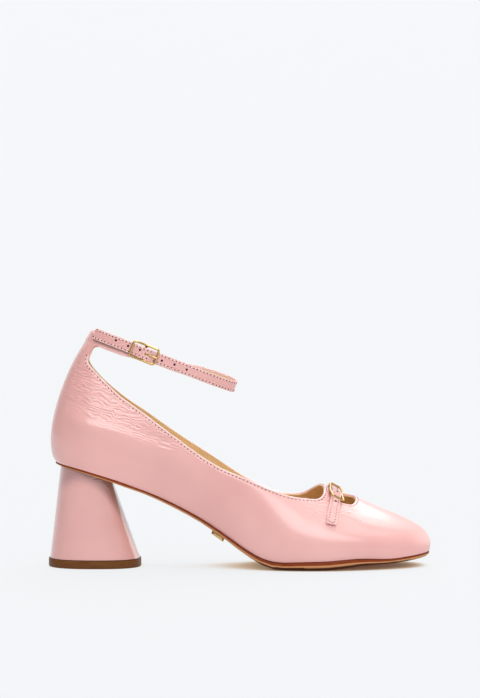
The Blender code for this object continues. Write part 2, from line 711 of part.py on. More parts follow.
def swept_wire(path, radius, closed):
    """Points and faces of a round wire along a list of points."""
    path = np.asarray(path, float)
    count = len(path)
    if closed:
        along = np.roll(path, -1, axis=0) - np.roll(path, 1, axis=0)
    else:
        along = np.gradient(path, axis=0)
    side = unit(np.cross(along[0], np.eye(3)[np.argmin(np.abs(along[0]))]))
    points = []
    for place, direction in zip(path, along):
        direction = unit(direction)
        side = unit(side - direction * np.dot(side, direction))
        other = np.cross(direction, side)
        for step in range(WIRE_SIDES):
            turn = 2.0 * math.pi * step / WIRE_SIDES
            points.append(place + radius * (math.cos(turn) * side + math.sin(turn) * other))
    faces = []
    for i in range(count if closed else count - 1):
        j = (i + 1) % count
        for step in range(WIRE_SIDES):
            following = (step + 1) % WIRE_SIDES
            faces.append((i * WIRE_SIDES + step, i * WIRE_SIDES + following,
                          j * WIRE_SIDES + following, j * WIRE_SIDES + step))
    if not closed:
        faces.append(tuple(range(WIRE_SIDES)))
        faces.append(tuple(range((count - 1) * WIRE_SIDES, count * WIRE_SIDES)))
    return points, faces


def frame_loop(half_length, half_width, end_rise, side_rise):
    """Wire loop of a buckle frame as length, across and rise; its long sides bow down to the bar."""
    loop = []
    straight = half_length - FRAME_CORNER
    outline = rounded_rectangle(half_length, half_width, FRAME_CORNER)
    for first, last in zip(outline, outline[1:] + outline[:1]):
        steps = max(1, round(math.dist(first, last) / FRAME_STEP))
        for step in range(steps):
            length, across = np.array(first) + np.subtract(last, first) * step / steps
            bow = math.sin(0.5 * math.pi * min(1.0, abs(length) / straight)) ** 2
            loop.append((length, across, side_rise + (end_rise - side_rise) * bow))
    return loop


def add_buckle(name, frame, bar):
    """Closed frame with a bar across it, joined into one body."""
    body = add_body(name, *swept_wire(frame, FRAME_RADIUS, True), "pale_gold")
    cutter = add_body(name + "_bar", *swept_wire(bar, BAR_RADIUS, False), "pale_gold")
    cutter.hide_render = True
    cutter.display_type = "WIRE"
    join = body.modifiers.new("bar", "BOOLEAN")
    join.operation = "UNION"
    join.object = cutter


def make_ankle_buckle():
    """Rounded wire frame with a centre bar, lying on the outer side of the ankle strap."""
    def place(length, across, rise):
        return loop_place(*buckle_place(length, rise), across + FRAME_OFF)

    frame = frame_loop(FRAME_HALF_LENGTH, FRAME_HALF_WIDTH, ANKLE_FRAME_RISE, ANKLE_SIDE_RISE)
    bar = [place(0.0, across * FRAME_HALF_WIDTH, 0.0) for across in (-1.0, 0.0, 1.0)]
    add_buckle("ankle_buckle", [place(*point) for point in frame], bar)


def make_ankle_prong():
    """Buckle tongue: a loop round the bar, then a pin through the tail onto the frame's front end."""
    places = []
    for turn in PRONG_LOOP_TURNS:
        angle = math.radians(turn)
        places.append((PRONG_LOOP * math.cos(angle), PRONG_LOOP * math.sin(angle)))
    places += [(row["length"], row["rise"]) for row in records(PRONG_COLUMNS, PRONG_ROWS)]
    path = [loop_place(*buckle_place(length, rise), PRONG_OFF) for length, rise in places]
    add_body("ankle_prong", *swept_wire(path, PRONG_RADIUS, False), "pale_gold")


def vamp_place(on, at, x):
    """Point of the upper's outer face at a given x, and the direction away from it."""
    reader = {
        "inner": lambda line: wall_point(LINES - line, at),
        "bridge": lambda line: bridge_point(line, at),
        "outer": lambda line: wall_point(line, at),
    }[on]
    margin = 0.0 if on == "bridge" else 1.0
    lines = np.linspace(BRIDGE_BACK - margin, BRIDGE_FRONT + margin, CURVE_SAMPLES)
    line = float(np.interp(x, [reader(line)[0] for line in lines], lines))
    here = reader(line)
    forward = reader(line + CURVE_STEP) - reader(line - CURVE_STEP)
    if on == "bridge":
        inward = bridge_point(line, at + CURVE_STEP) - bridge_point(line, at - CURVE_STEP)
        return here, unit(np.cross(forward, inward))
    number = LINES - line if on == "inner" else line
    upward = wall_point(number, at + CURVE_STEP) - wall_point(number, at - CURVE_STEP)
    away = np.cross(forward, upward)
    return here, unit(-away if on == "inner" else away)


class VampLine:
    """Line across the vamp that the small strap follows, with the directions away from the upper."""

    def __init__(self):
        stops = records(VAMP_COLUMNS, VAMP_ROWS)
        points, aways = [], []
        for first, last in zip(stops, stops[1:]):
            if first["on"] != last["on"]:
                continue
            for share in np.linspace(0.0, 1.0, SPAN_SAMPLES):
                at = first["at"] + share * (last["at"] - first["at"])
                x = first["x"] + share * (last["x"] - first["x"])
                if not (points and share == 0.0):
                    here, away = vamp_place(first["on"], at, x)
                    points.append(here)
                    aways.append(away)
        self.points, self.normals = np.array(points), np.array(aways)
        steps = np.linalg.norm(np.diff(self.points, axis=0), axis=1)
        self.lengths = np.concatenate([[0.0], np.cumsum(steps)])
        self.total = self.lengths[-1]
        self.buckle = float(np.interp(-VAMP_BUCKLE_Y, -self.points[:, 1], self.lengths))

    def read(self, table, length):
        return np.array([np.interp(length, self.lengths, table[:, axis]) for axis in range(3)])

    def frame(self, length):
        """Surface point, direction across the strap and direction away from the upper."""
        behind, ahead = length - VAMP_REACH, length + VAMP_REACH
        along = unit(self.read(self.points, ahead) - self.read(self.points, behind))
        away = sum(self.read(self.normals, place) for place in (behind, length, ahead))
        across = unit(np.cross(away, along))
        return self.read(self.points, length), across, np.cross(along, across)


def make_vamp_strap(line):
    """Small strap over the bridge, lifted over the buckle's bar, with its tail on the outer side."""
    stations = []
    for length in np.linspace(0.0, line.total, VAMP_STATIONS):
        here, across, away = line.frame(length)
        rise = VAMP_LIFT + 0.5 * VAMP_THICK + bulge(length - line.buckle, VAMP_BULGE, BULGE_HALF_LENGTH)
        rise += VAMP_TAIL_LIFT * max(0.0, 1.0 - (line.total - length) / VAMP_TAIL_CURL) ** 2
        stations.append({"middle": here + away * rise, "across": across, "normal": away, "width": VAMP_WIDTH,
                         "thick": VAMP_THICK, "open": False})
    add_body("vamp_strap", *thick_strip(stations, (0.5 * VAMP_WIDTH, 0.5 * VAMP_WIDTH)), "pink_leather")


def make_vamp_buckle(line):
    """Small wire frame over the strap, with its bar under it."""
    here, sideways, away = line.frame(line.buckle)
    along = np.cross(sideways, away)

    def place(length, across, rise):
        return here + along * length + sideways * across + away * rise

    frame = frame_loop(VAMP_FRAME_HALF_LENGTH, VAMP_FRAME_HALF_WIDTH, VAMP_FRAME_RISE, VAMP_SIDE_RISE)
    bar = [place(0.0, across * VAMP_FRAME_HALF_WIDTH, VAMP_BAR_RISE) for across in (-1.0, 0.0, 1.0)]
    add_buckle("vamp_buckle", [place(*point) for point in frame], bar)


def centre_on_floor():
    """Parent every piece to one empty that puts the middle of the shoe over the origin."""
    corners = np.array([vertex.co for item in bpy.data.objects for vertex in item.data.vertices])
    middle = 0.5 * (corners.min(axis=0) + corners.max(axis=0))
    shoe = bpy.data.objects.new("shoe", None)
    for item in list(bpy.data.objects):
        if item.type == "MESH":
            item.parent = shoe
    bpy.context.scene.collection.objects.link(shoe)
    shoe.location = (-middle[0], -middle[1], 0.0)


def main():
    clear_scene()
    make_outsole()
    make_insole()
    make_heel()
    make_heel_tip()
    make_upper()
    make_sole_plate()
    make_ankle_strap()
    make_ankle_buckle()
    make_ankle_prong()
    vamp_line = VampLine()
    make_vamp_strap(vamp_line)
    make_vamp_buckle(vamp_line)
    centre_on_floor()


main()
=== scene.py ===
import math

import bpy
import numpy as np
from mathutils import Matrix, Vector, noise
from mathutils.bvhtree import BVHTree
from mathutils.kdtree import KDTree


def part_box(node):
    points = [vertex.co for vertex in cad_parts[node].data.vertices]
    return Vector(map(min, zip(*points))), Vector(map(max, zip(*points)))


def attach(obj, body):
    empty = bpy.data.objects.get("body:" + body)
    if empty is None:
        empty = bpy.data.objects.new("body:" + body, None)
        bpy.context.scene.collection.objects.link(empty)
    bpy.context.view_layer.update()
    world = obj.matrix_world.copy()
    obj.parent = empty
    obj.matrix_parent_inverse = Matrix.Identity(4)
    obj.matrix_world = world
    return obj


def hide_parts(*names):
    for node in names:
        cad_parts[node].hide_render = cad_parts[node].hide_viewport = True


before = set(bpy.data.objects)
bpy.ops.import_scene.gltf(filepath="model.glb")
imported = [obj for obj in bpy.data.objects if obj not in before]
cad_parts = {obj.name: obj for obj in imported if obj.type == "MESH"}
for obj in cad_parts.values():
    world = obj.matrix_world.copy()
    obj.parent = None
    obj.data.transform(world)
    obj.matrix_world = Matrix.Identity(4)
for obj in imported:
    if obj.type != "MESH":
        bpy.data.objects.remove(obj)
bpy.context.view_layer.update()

# The shoe's own millimetres: x from the back of the heel to the toe, y to the inner side, z up.
BACK_TO_ORIGIN = 117.05
MIDDLE_TO_ORIGIN = -1.056
MM = 0.001
MERGE = 1e-6            # corners of a CAD copy this near, in metres, are one

# The photograph's frame: millimetres to a pixel, the column of the heel's back, the row of the floor,
# and how many rows a point moves for each millimetre of depth.
PIXEL = 0.617
HEEL_COLUMN = 50.5
FLOOR_ROW = 566.2
ROW_PER_DEPTH = 0.13


def shoe(x, y, z):
    """A point of the shoe, from its own millimetres to the frame's metres."""
    return Vector((x - BACK_TO_ORIGIN, y - MIDDLE_TO_ORIGIN, z)) * MM


def in_shoe(places):
    """Points of the frame, as rows of metres, in the shoe's own millimetres."""
    return places / MM + np.array((BACK_TO_ORIGIN, MIDDLE_TO_ORIGIN, 0.0))


def pictured(column, row, depth):
    """x and z of a point that the photograph shows at a column and row, at a depth y."""
    return (column - HEEL_COLUMN) * PIXEL, (FLOOR_ROW - ROW_PER_DEPTH * depth - row) * PIXEL


def smooth(value, low, high):
    """0 below low, 1 above high, and an even turn between them."""
    share = np.clip((value - low) / (high - low), 0.0, 1.0)
    return share * share * (3.0 - 2.0 * share)


def placed(name, data):
    """A new object with that data, in the scene."""
    thing = bpy.data.objects.new(name, data)
    bpy.context.scene.collection.objects.link(thing)
    return thing


def alone(piece):
    """A piece as the only one selected, and active."""
    bpy.ops.object.select_all(action="DESELECT")
    piece.select_set(True)
    bpy.context.view_layer.objects.active = piece


def edit(piece, test=None):
    """Edit mode on a piece, with the faces that pass the test selected, or every face."""
    alone(piece)
    bpy.ops.object.mode_set(mode="EDIT")
    bpy.ops.mesh.select_mode(type="FACE")
    bpy.ops.mesh.select_all(action="DESELECT" if test else "SELECT")
    bpy.ops.object.mode_set(mode="OBJECT")
    if test:
        for face in piece.data.polygons:
            face.select = bool(test(face))
    bpy.ops.object.mode_set(mode="EDIT")


def done():
    """Back to object mode."""
    bpy.ops.object.mode_set(mode="OBJECT")


def worked(piece, kind, **settings):
    """A modifier put on a piece and applied."""
    alone(piece)
    modifier = piece.modifiers.new(kind.lower(), kind)
    for name, value in settings.items():
        setattr(modifier, name, value)
    bpy.ops.object.modifier_apply(modifier=modifier.name)
    return piece


def rounded(piece, levels):
    """A piece rounded by subdivision."""
    return worked(piece, "SUBSURF", levels=levels, render_levels=levels)


def smoothed(piece, degrees):
    """A piece shaded smooth, with edges sharper than the angle kept crisp."""
    alone(piece)
    bpy.ops.object.shade_smooth_by_angle(angle=math.radians(degrees))
    return piece


def from_cad(node, name):
    """A merged copy of a CAD node, ready to be worked on."""
    piece = placed(name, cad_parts[node].data.copy())
    piece.data.materials.clear()
    edit(piece)
    bpy.ops.mesh.remove_doubles(threshold=MERGE)
    done()
    return piece


def in_quads(piece):
    """A piece's triangles joined in pairs."""
    edit(piece)
    bpy.ops.mesh.tris_convert_to_quads(
        face_threshold=math.radians(60), shape_threshold=math.radians(120), topology_influence=1.3)
    done()
    return piece


def dressed(piece, slot, *materials):
    """A finished piece gets its materials and its place on the body; the slot is not used."""
    piece.data.name = piece.name
    for material in materials:
        piece.data.materials.append(material)
    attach(piece, "root")
    return piece


def painted(piece, index, test):
    """The faces that pass the test take the piece's material of that index."""
    for face in piece.data.polygons:
        if test(face):
            face.material_index = index


def read(piece, what):
    """Rows of the vertices' places or normals."""
    rows = np.empty(len(piece.data.vertices) * 3)
    piece.data.vertices.foreach_get(what, rows)
    return rows.reshape(-1, 3)


def moved(piece, places):
    """A piece's vertices put at rows of places."""
    piece.data.vertices.foreach_set("co", np.ascontiguousarray(places).ravel())
    piece.data.update()


def marked(piece, **marks):
    """Named values, one for each vertex, for the materials to read."""
    for name, values in marks.items():
        piece.data.attributes.new(name, "FLOAT", "POINT").data.foreach_set("value", values)


def surface(piece):
    """What finds the nearest point of a piece's faces."""
    return BVHTree.FromPolygons(
        [v.co for v in piece.data.vertices], [f.vertices[:] for f in piece.data.polygons])


def open_edges(piece):
    """The open edges of a sheet, as ordered closed loops of places."""
    uses = {}
    for face in piece.data.polygons:
        for key in face.edge_keys:
            uses[key] = uses.get(key, 0) + 1
    links = {}
    for one, other in (key for key, count in uses.items() if count == 1):
        links.setdefault(one, []).append(other)
        links.setdefault(other, []).append(one)
    loops = []
    while links:
        start = min(links)
        loop = [start]
        before, here = None, start
        while True:
            ahead = [v for v in links.pop(here) if v != before]
            before, here = here, ahead[0]
            if here == start or here not in links:
                break
            loop.append(here)
        loops.append(np.array([piece.data.vertices[v].co for v in loop]))
    return loops


# Materials: their colours, and the sizes in millimetres that their patterns are worked out from.
# The real grain, pores, streaks and haze are about three times finer, and are drawn this coarse to show.
PINK_DEEP = "E4A6A0"
PINK_PALE = "EDB2AC"
# The pale pink below is a painted highlight along the topline's rolled edge.
PINK_RIM_HIGHLIGHT = "F4CCC6"
SOLE_BARE = "C48A5E"
# The near black below is a painted contact shadow under the sole's front.
SOLE_SHADOW = "4A2414"
GOLD_PALE = "DDBF8A"
GOLD_DEEP = "C6A05E"
PINK_CLOUD = 38.0
PINK_GRAIN = 0.9
PINK_CRACKLE = 2.6
RIPPLE = 1.5            # from crest to crest of the finest crinkles
RIPPLE_BREAK = 4.0      # about how far one runs before it breaks off
CRINKLE_FALL = math.radians(18)     # how far the crinkles fall towards the toe
LINING_BLOTCH = 14.0
LINING_PORE = 0.8
SOLE_STREAK = 1.6
GOLD_HAZE = 1.2


def linear(code):
    """An sRGB hex colour as linear red, green, blue and alpha."""
    parts = [int(code[i:i + 2], 16) / 255 for i in (0, 2, 4)]
    return [p / 12.92 if p <= 0.04045 else ((p + 0.055) / 1.055) ** 2.4 for p in parts] + [1.0]


def add(material, kind, sockets=None, **settings):
    """A node with its settings, and its sockets set or linked."""
    tree = material.node_tree
    node = tree.nodes.new(kind)
    for name, value in settings.items():
        setattr(node, name, value)
    for name, value in (sockets or {}).items():
        if isinstance(value, bpy.types.NodeSocket):
            tree.links.new(value, node.inputs[name])
        else:
            node.inputs[name].default_value = value
    return node


def material_of(name, **sockets):
    """A new material with a Principled shader, its uniform sockets set, and its Object coordinates."""
    material = bpy.data.materials.new(name)
    material.use_nodes = True
    shader = material.node_tree.nodes["Principled BSDF"]
    for key, value in sockets.items():
        shader.inputs[key.replace("_", " ")].default_value = value
    place = add(material, "ShaderNodeTexCoord").outputs["Object"]
    return material, shader, place


def across(size):
    """The scale of a pattern whose marks are that many millimetres across."""
    return 1.0 / (size * MM)


def ripple(size):
    """The scale of a wave whose bands are that many millimetres from crest to crest."""
    return math.pi / (10.0 * size * MM)


def pink_calf():
    """Glossy crinkled calf: a clear coat over fine grained pink, with painted highlights on ridges,
    crinkle lines and along the topline, and painted shade in troughs and where the shade mark asks.
    """
    material, shader, place = material_of(
        "pink_crinkled_calf", Roughness=0.4, IOR=1.5, Coat_Roughness=0.12)
    clouds = add(material, "ShaderNodeTexNoise",
                 {"Vector": place, "Scale": across(PINK_CLOUD), "Detail": 2.0})
    tone = add(material, "ShaderNodeMapRange",
               {"Value": clouds.outputs["Fac"], "From Min": 0.3, "From Max": 0.7})
    body = add(material, "ShaderNodeMix",
               {0: tone.outputs[0], 6: linear(PINK_DEEP), 7: linear(PINK_PALE)}, data_type="RGBA")
    turned = add(material, "ShaderNodeMapping", {"Vector": place, "Rotation": (0.0, -CRINKLE_FALL, 0.0)})
    ripples = add(material, "ShaderNodeTexWave",
                  {"Vector": turned.outputs[0], "Scale": ripple(RIPPLE), "Distortion": 9.0,
                   "Detail": 1.5, "Detail Scale": 1.1}, wave_type="BANDS", bands_direction="Z")
    breaks = add(material, "ShaderNodeTexNoise",
                 {"Vector": place, "Scale": across(RIPPLE_BREAK), "Detail": 1.0})
    kept = add(material, "ShaderNodeMapRange",
               {"Value": breaks.outputs["Fac"], "From Min": 0.35, "From Max": 0.6})
    fold = add(material, "ShaderNodeMath",
               {0: ripples.outputs["Fac"], 1: kept.outputs[0]}, operation="MULTIPLY")
    where = add(material, "ShaderNodeAttribute", attribute_name="crinkle")
    pressed = add(material, "ShaderNodeMath",
                  {0: fold.outputs[0], 1: where.outputs["Fac"]}, operation="MULTIPLY")
    # Painted highlight: the crinkle lines are made paler, as glints.
    painted_glint = add(material, "ShaderNodeMath",
                {0: pressed.outputs[0], 1: 0.12, 2: 0.97}, operation="MULTIPLY_ADD")
    # Painted highlight on ridges and painted shade in troughs, from the ridge mark.
    ridge = add(material, "ShaderNodeAttribute", attribute_name="ridge")
    painted_relief = add(material, "ShaderNodeMapRange",
                 {"Value": ridge.outputs["Fac"], "From Min": -1.0, "From Max": 1.0,
                  "To Min": 0.91, "To Max": 1.12})
    # Darker where the shade mark says: a little darker heel cover, and painted shade under the sole and
    # under the strap's tail.
    shade = add(material, "ShaderNodeAttribute", attribute_name="shade")
    unshaded = add(material, "ShaderNodeMath", {0: 1.0, 1: shade.outputs["Fac"]}, operation="SUBTRACT")
    folded = add(material, "ShaderNodeMath",
                 {0: painted_relief.outputs[0], 1: painted_glint.outputs[0]}, operation="MULTIPLY")
    painted_shading = add(material, "ShaderNodeMath",
               {0: folded.outputs[0], 1: unshaded.outputs[0]}, operation="MULTIPLY")
    toned = add(material, "ShaderNodeMix",
                {0: 1.0, 6: body.outputs[2], 7: painted_shading.outputs[0]},
                data_type="RGBA", blend_type="MULTIPLY")
    # Painted highlight along the topline's rolled edge.
    rubbed = add(material, "ShaderNodeAttribute", attribute_name="rubbed")
    colour = add(material, "ShaderNodeMix",
                 {0: rubbed.outputs["Fac"], 6: toned.outputs[2], 7: linear(PINK_RIM_HIGHLIGHT)},
                 data_type="RGBA")
    grain = add(material, "ShaderNodeTexVoronoi",
                {"Vector": place, "Scale": across(PINK_GRAIN)}, feature="SMOOTH_F1")
    crackle = add(material, "ShaderNodeTexNoise",
                  {"Vector": place, "Scale": across(PINK_CRACKLE), "Detail": 3.0, "Distortion": 1.4})
    height = add(material, "ShaderNodeMath",
                 {0: grain.outputs["Distance"], 1: crackle.outputs["Fac"]}, operation="ADD")
    fine = add(material, "ShaderNodeBump",
               {"Height": height.outputs[0], "Strength": 0.12, "Distance": 0.0002})
    bump = add(material, "ShaderNodeBump",
               {"Height": pressed.outputs[0], "Strength": 0.6, "Distance": 0.0003,
                "Normal": fine.outputs["Normal"]})
    dull = add(material, "ShaderNodeAttribute", attribute_name="dull")
    coat = add(material, "ShaderNodeMapRange",
               {"Value": dull.outputs["Fac"], "To Min": 1.0, "To Max": 0.1})
    tree = material.node_tree
    tree.links.new(colour.outputs[2], shader.inputs["Base Color"])
    tree.links.new(coat.outputs[0], shader.inputs["Coat Weight"])
    tree.links.new(bump.outputs["Normal"], shader.inputs["Normal"])
    return material


def lining_calf(name, pale, deep):
    """Dull natural calf lining: warm tan with soft blotches and a fine pore."""
    material, shader, place = material_of(name, Roughness=0.62, IOR=1.45)
    blotch = add(material, "ShaderNodeTexNoise",
                 {"Vector": place, "Scale": across(LINING_BLOTCH), "Detail": 4.0})
    colour = add(material, "ShaderNodeMix",
                 {0: blotch.outputs["Fac"], 6: linear(pale), 7: linear(deep)}, data_type="RGBA")
    pores = add(material, "ShaderNodeTexVoronoi", {"Vector": place, "Scale": across(LINING_PORE)})
    bump = add(material, "ShaderNodeBump",
               {"Height": pores.outputs["Distance"], "Strength": 0.15, "Distance": 0.0001})
    tree = material.node_tree
    tree.links.new(colour.outputs[2], shader.inputs["Base Color"])
    tree.links.new(bump.outputs["Normal"], shader.inputs["Normal"])
    return material


def waxed_sole(name, pale, deep, roughness):
    """Stained, waxed sole leather: streaks along the sole, a low polish and a bare line low down, with a
    painted contact shadow on the lowest faces.
    """
    material, shader, place = material_of(name, Roughness=roughness, IOR=1.5, Specular_IOR_Level=0.12)
    run = add(material, "ShaderNodeMapping", {"Vector": place, "Scale": (0.2, 1.0, 1.0)})
    streak = add(material, "ShaderNodeTexNoise",
                 {"Vector": run.outputs[0], "Scale": across(SOLE_STREAK), "Detail": 3.0})
    stain = add(material, "ShaderNodeMix",
                {0: streak.outputs["Fac"], 6: linear(pale), 7: linear(deep)}, data_type="RGBA")
    low = add(material, "ShaderNodeAttribute", attribute_name="low")
    bare = add(material, "ShaderNodeMapRange",
               {"Value": low.outputs["Fac"], "From Min": 0.64, "From Max": 0.78})
    # Painted contact shadow: faces marked past 1.05 are made near black.
    painted_shading = add(material, "ShaderNodeMapRange",
               {"Value": low.outputs["Fac"], "From Min": 1.05, "From Max": 1.3})
    line = add(material, "ShaderNodeMix",
               {0: bare.outputs[0], 6: stain.outputs[2], 7: linear(SOLE_BARE)}, data_type="RGBA")
    colour = add(material, "ShaderNodeMix",
                 {0: painted_shading.outputs[0], 6: line.outputs[2], 7: linear(SOLE_SHADOW)}, data_type="RGBA")
    bump = add(material, "ShaderNodeBump",
               {"Height": streak.outputs["Fac"], "Strength": 0.12, "Distance": 0.0002})
    tree = material.node_tree
    tree.links.new(colour.outputs[2], shader.inputs["Base Color"])
    tree.links.new(bump.outputs["Normal"], shader.inputs["Normal"])
    return material


def gold_plate():
    """Pale gold plating on polished zinc: sharp reflections with a faint lapped haze."""
    material, shader, place = material_of("pale_gold_plating", Metallic=1.0)
    haze = add(material, "ShaderNodeTexNoise",
               {"Vector": place, "Scale": across(GOLD_HAZE), "Detail": 2.0})
    rough = add(material, "ShaderNodeMapRange",
                {"Value": haze.outputs["Fac"], "To Min": 0.09, "To Max": 0.18})
    colour = add(material, "ShaderNodeMix",
                 {0: haze.outputs["Fac"], 6: linear(GOLD_PALE), 7: linear(GOLD_DEEP)}, data_type="RGBA")
    tree = material.node_tree
    tree.links.new(colour.outputs[2], shader.inputs["Base Color"])
    tree.links.new(rough.outputs[0], shader.inputs["Roughness"])
    return material


def plain(name, pale, deep, size, **sockets):
    """A small even finish with a little variation of tone."""
    material, shader, place = material_of(name, **sockets)
    fleck = add(material, "ShaderNodeTexNoise", {"Vector": place, "Scale": across(size), "Detail": 2.0})
    colour = add(material, "ShaderNodeMix",
                 {0: fleck.outputs["Fac"], 6: linear(pale), 7: linear(deep)}, data_type="RGBA")
    material.node_tree.links.new(colour.outputs[2], shader.inputs["Base Color"])
    return material


# Edge paint is even and half matt, and bonded thread has a low sheen. The needle holes are dark discs,
# their colour the painted shade of the holes. The walls of punched holes are raw leather, made dark and
# dull as painted shade in the holes.
PINK = pink_calf()
EDGE = plain("painted_calf_edge", "F2C8C2", "E8B5AF", 3.0, Roughness=0.45, IOR=1.5)
TAN = lining_calf("tan_lining_calf", "E2C698", "D3B27E")
SOCK = lining_calf("sock_calf", "F0C49C", "DEB084")
SOLE_EDGE = waxed_sole("stained_sole_edge", "8C4020", "702E12", 0.6)
TIP = waxed_sole("brown_top_piece", "784C26", "5A3416", 0.45)
GOLD = gold_plate()
THREAD = plain("pink_bonded_thread", "F7D3CD", "EFC3BC", 0.6, Roughness=0.5, IOR=1.5)
NEEDLE = plain("needle_hole", "653034", "4C2224", 0.6, Roughness=0.8, IOR=1.4)
PUNCH = plain("punched_hole_wall", "6A2F35", "4A1F24", 0.8, Roughness=0.8, IOR=1.4)


# Upper

WALL = 1.8              # the wall of the solid, from its outer to its inner face
WALL_SLACK = 0.03
LEATHER = 1.25
LINING = 0.5
LINING_GAP = 0.03
RIM_BEVEL = 0.4
RIM_LOW = 20.0          # toplines lie above this, and the wall's foot comes below it
RIM_STEP = 0.3
HEEL_MIDDLE = (35.0, 80.0, 140.0)                        # x, lowest and highest z inside the back
FOOT_MIDDLE = ((45.0, 82.0), (130.0, 45.0), (200.0, 22.0))   # x and z inside the foot


def middle_of(place):
    """A point well inside the shoe, level with a place on its wall."""
    x, _, z = in_shoe(np.array(place))
    back, low, high = HEEL_MIDDLE
    spots = np.array(FOOT_MIDDLE)
    if x < spots[0][0]:
        return shoe(back, 0.0, min(max(z, low), high))
    return shoe(min(x, spots[-1][0]), 0.0, np.interp(x, *spots.T))


def near_points(places):
    """What finds the points nearest to a place."""
    tree = KDTree(len(places))
    for number, place in enumerate(places):
        tree.insert(place, number)
    tree.balance()
    return tree


def upper_sheet(name):
    """The outer skin of the upper's wall, as an open sheet in quads."""
    sheet = from_cad("upper", name)
    places = read(sheet, "co")
    tree = near_points(places)
    longest, shortest = (1.0 + WALL_SLACK) * WALL * MM, (1.0 - WALL_SLACK) * WALL * MM
    outer = []
    for place in map(Vector, places):
        outward = (place - middle_of(place)).normalized()
        steps = [place - other for other, _, gap in tree.find_range(place, longest) if gap > shortest]
        outer.append(max(steps, key=lambda step: abs(step.dot(outward))).dot(outward) > 0.0)
    edit(sheet, lambda face: not all(outer[corner] for corner in face.vertices))
    bpy.ops.mesh.delete(type="FACE")
    done()
    return in_quads(sheet)


TAB_FOOT = 128.5        # where the tab starts to follow the strap above it
TAB_TOP = 136.9
TAB_HALF = 13.3
TAB_TUCK = 0.45         # how far the tab goes up behind the strap's lower edge
FILLET = 3.2            # of the corner between the neck and the strap
FILLET_FROM = 9.0       # half width of the neck where the corner starts
FILLET_WAY = (0.757, 0.589, -0.283)           # along the strap, away from the back


def tab_to_strap(sheet):
    """The tab grows into the strap above it, with a round corner at each side of the neck."""
    strap_surface = surface(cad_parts["ankle_strap"])
    rim = np.concatenate(open_edges(sheet))
    top = rim[(in_shoe(rim)[:, 2] > TAB_TOP) & (abs(in_shoe(rim)[:, 1]) < TAB_HALF)]
    top = top[np.argsort(top[:, 1])]
    steps = []
    for place in map(Vector, top):
        target = strap_surface.find_nearest(place)[0]
        steps.append(target - place + Vector((0.0, 0.0, TAB_TUCK * MM)))
    steps = np.array(steps)
    places = read(sheet, "co")
    own = in_shoe(places)
    crest = np.interp(places[:, 1], top[:, 1], in_shoe(top)[:, 2])
    rise = smooth(own[:, 2], TAB_FOOT, crest)
    step = np.stack([np.interp(places[:, 1], top[:, 1], steps[:, axis]) for axis in range(3)], axis=1)
    drop = np.clip((crest - own[:, 2]) / FILLET, 0.0, 1.0)
    flare = (1.0 - np.sqrt(1.0 - (1.0 - drop) ** 2)) * smooth(abs(own[:, 1]), FILLET_FROM, TAB_HALF)
    flare *= own[:, 2] > TAB_FOOT
    way = np.tile(FILLET_WAY, (len(own), 1))
    way[:, 1] *= np.sign(own[:, 1])
    moved(sheet, places + step * rise[:, None] + way * flare[:, None] * FILLET * MM)


SKIRT = 0.9             # the lower back of the wall stands out flush with the sole's edge
SKIRT_HIGH = 9.0
SKIRT_FROM = (35.0, 0.0, 0.0)   # it stands out away from the middle of the seat
SKIRT_END = (25.0, 70.0)
SKIRT_FOOT = 90.0
SKIRT_DROP = 0.95       # and comes down over it as far as the seat goes
SEAT_TO = (44.0, 62.0)
TOE_DROP = 2.4          # the toe lies this much lower than in the solid
TOE_FROM = (186.0, 214.0)
TOE_FOOT = ((150.0, 5.0), (195.0, 7.5), (215.0, 10.0), (235.0, 12.0))   # x and z of the wall's foot
TOE_HIGH = 14.0
# x along the outer topline and how far it lies above the solid's
COLLAR_LINE = ((44.0, 0.0), (52.0, 1.0), (62.0, 1.8), (72.0, 2.2), (80.0, 1.9), (88.0, 0.6),
               (96.0, -0.8), (105.0, -1.4), (112.0, -0.7), (119.0, 0.0))
COLLAR_DEEP = 20.0
COLLAR_SIDE = (6.0, 14.0)


def toe_down(piece):
    """The toe's lower part is let down nearer to the floor."""
    places = read(piece, "co")
    x, _, z = in_shoe(places).T
    foot = np.interp(x, *np.array(TOE_FOOT).T)
    places[:, 2] -= TOE_DROP * MM * smooth(x, *TOE_FROM) * (1.0 - smooth(z - foot, 0.0, TOE_HIGH))
    moved(piece, places)


def toplines(sheet):
    """The open edges of the upper round the collar and the keyhole."""
    return [loop for loop in open_edges(sheet) if in_shoe(loop)[:, 2].min() > RIM_LOW]


def collar_line(sheet):
    """The outer topline takes the photograph's line, and the wall below follows it less and less."""
    rim = in_shoe(np.concatenate(toplines(sheet)))
    tree = near_points(rim[rim[:, 1] < 0.0])
    places = read(sheet, "co")
    own = in_shoe(places)
    gap = np.array([tree.find(place)[2] for place in own])
    lift = np.interp(own[:, 0], *np.array(COLLAR_LINE).T) * (1.0 - smooth(gap, 0.0, COLLAR_DEEP))
    places[:, 2] += lift * MM * smooth(-own[:, 1], *COLLAR_SIDE)
    moved(sheet, places)


def over_sole(sheet):
    """The lower back of the wall is drawn out over the sole's edge."""
    foot = min((in_shoe(loop) for loop in open_edges(sheet)), key=lambda loop: loop[:, 2].min())
    tree = near_points(foot[foot[:, 0] < SKIRT_FOOT])
    places = read(sheet, "co")
    own = in_shoe(places)
    gap = np.array([tree.find(place)[2] for place in own])
    near = 1.0 - smooth(gap, 0.0, SKIRT_HIGH)
    way = own - np.array(SKIRT_FROM)
    way[:, 2] = 0.0
    way /= np.linalg.norm(way, axis=1)[:, None]
    places += way * (SKIRT * MM * near * (1.0 - smooth(own[:, 0], *SKIRT_END)))[:, None]
    places[:, 2] -= SKIRT_DROP * MM * near * (1.0 - smooth(own[:, 0], *SEAT_TO))
    moved(sheet, places)


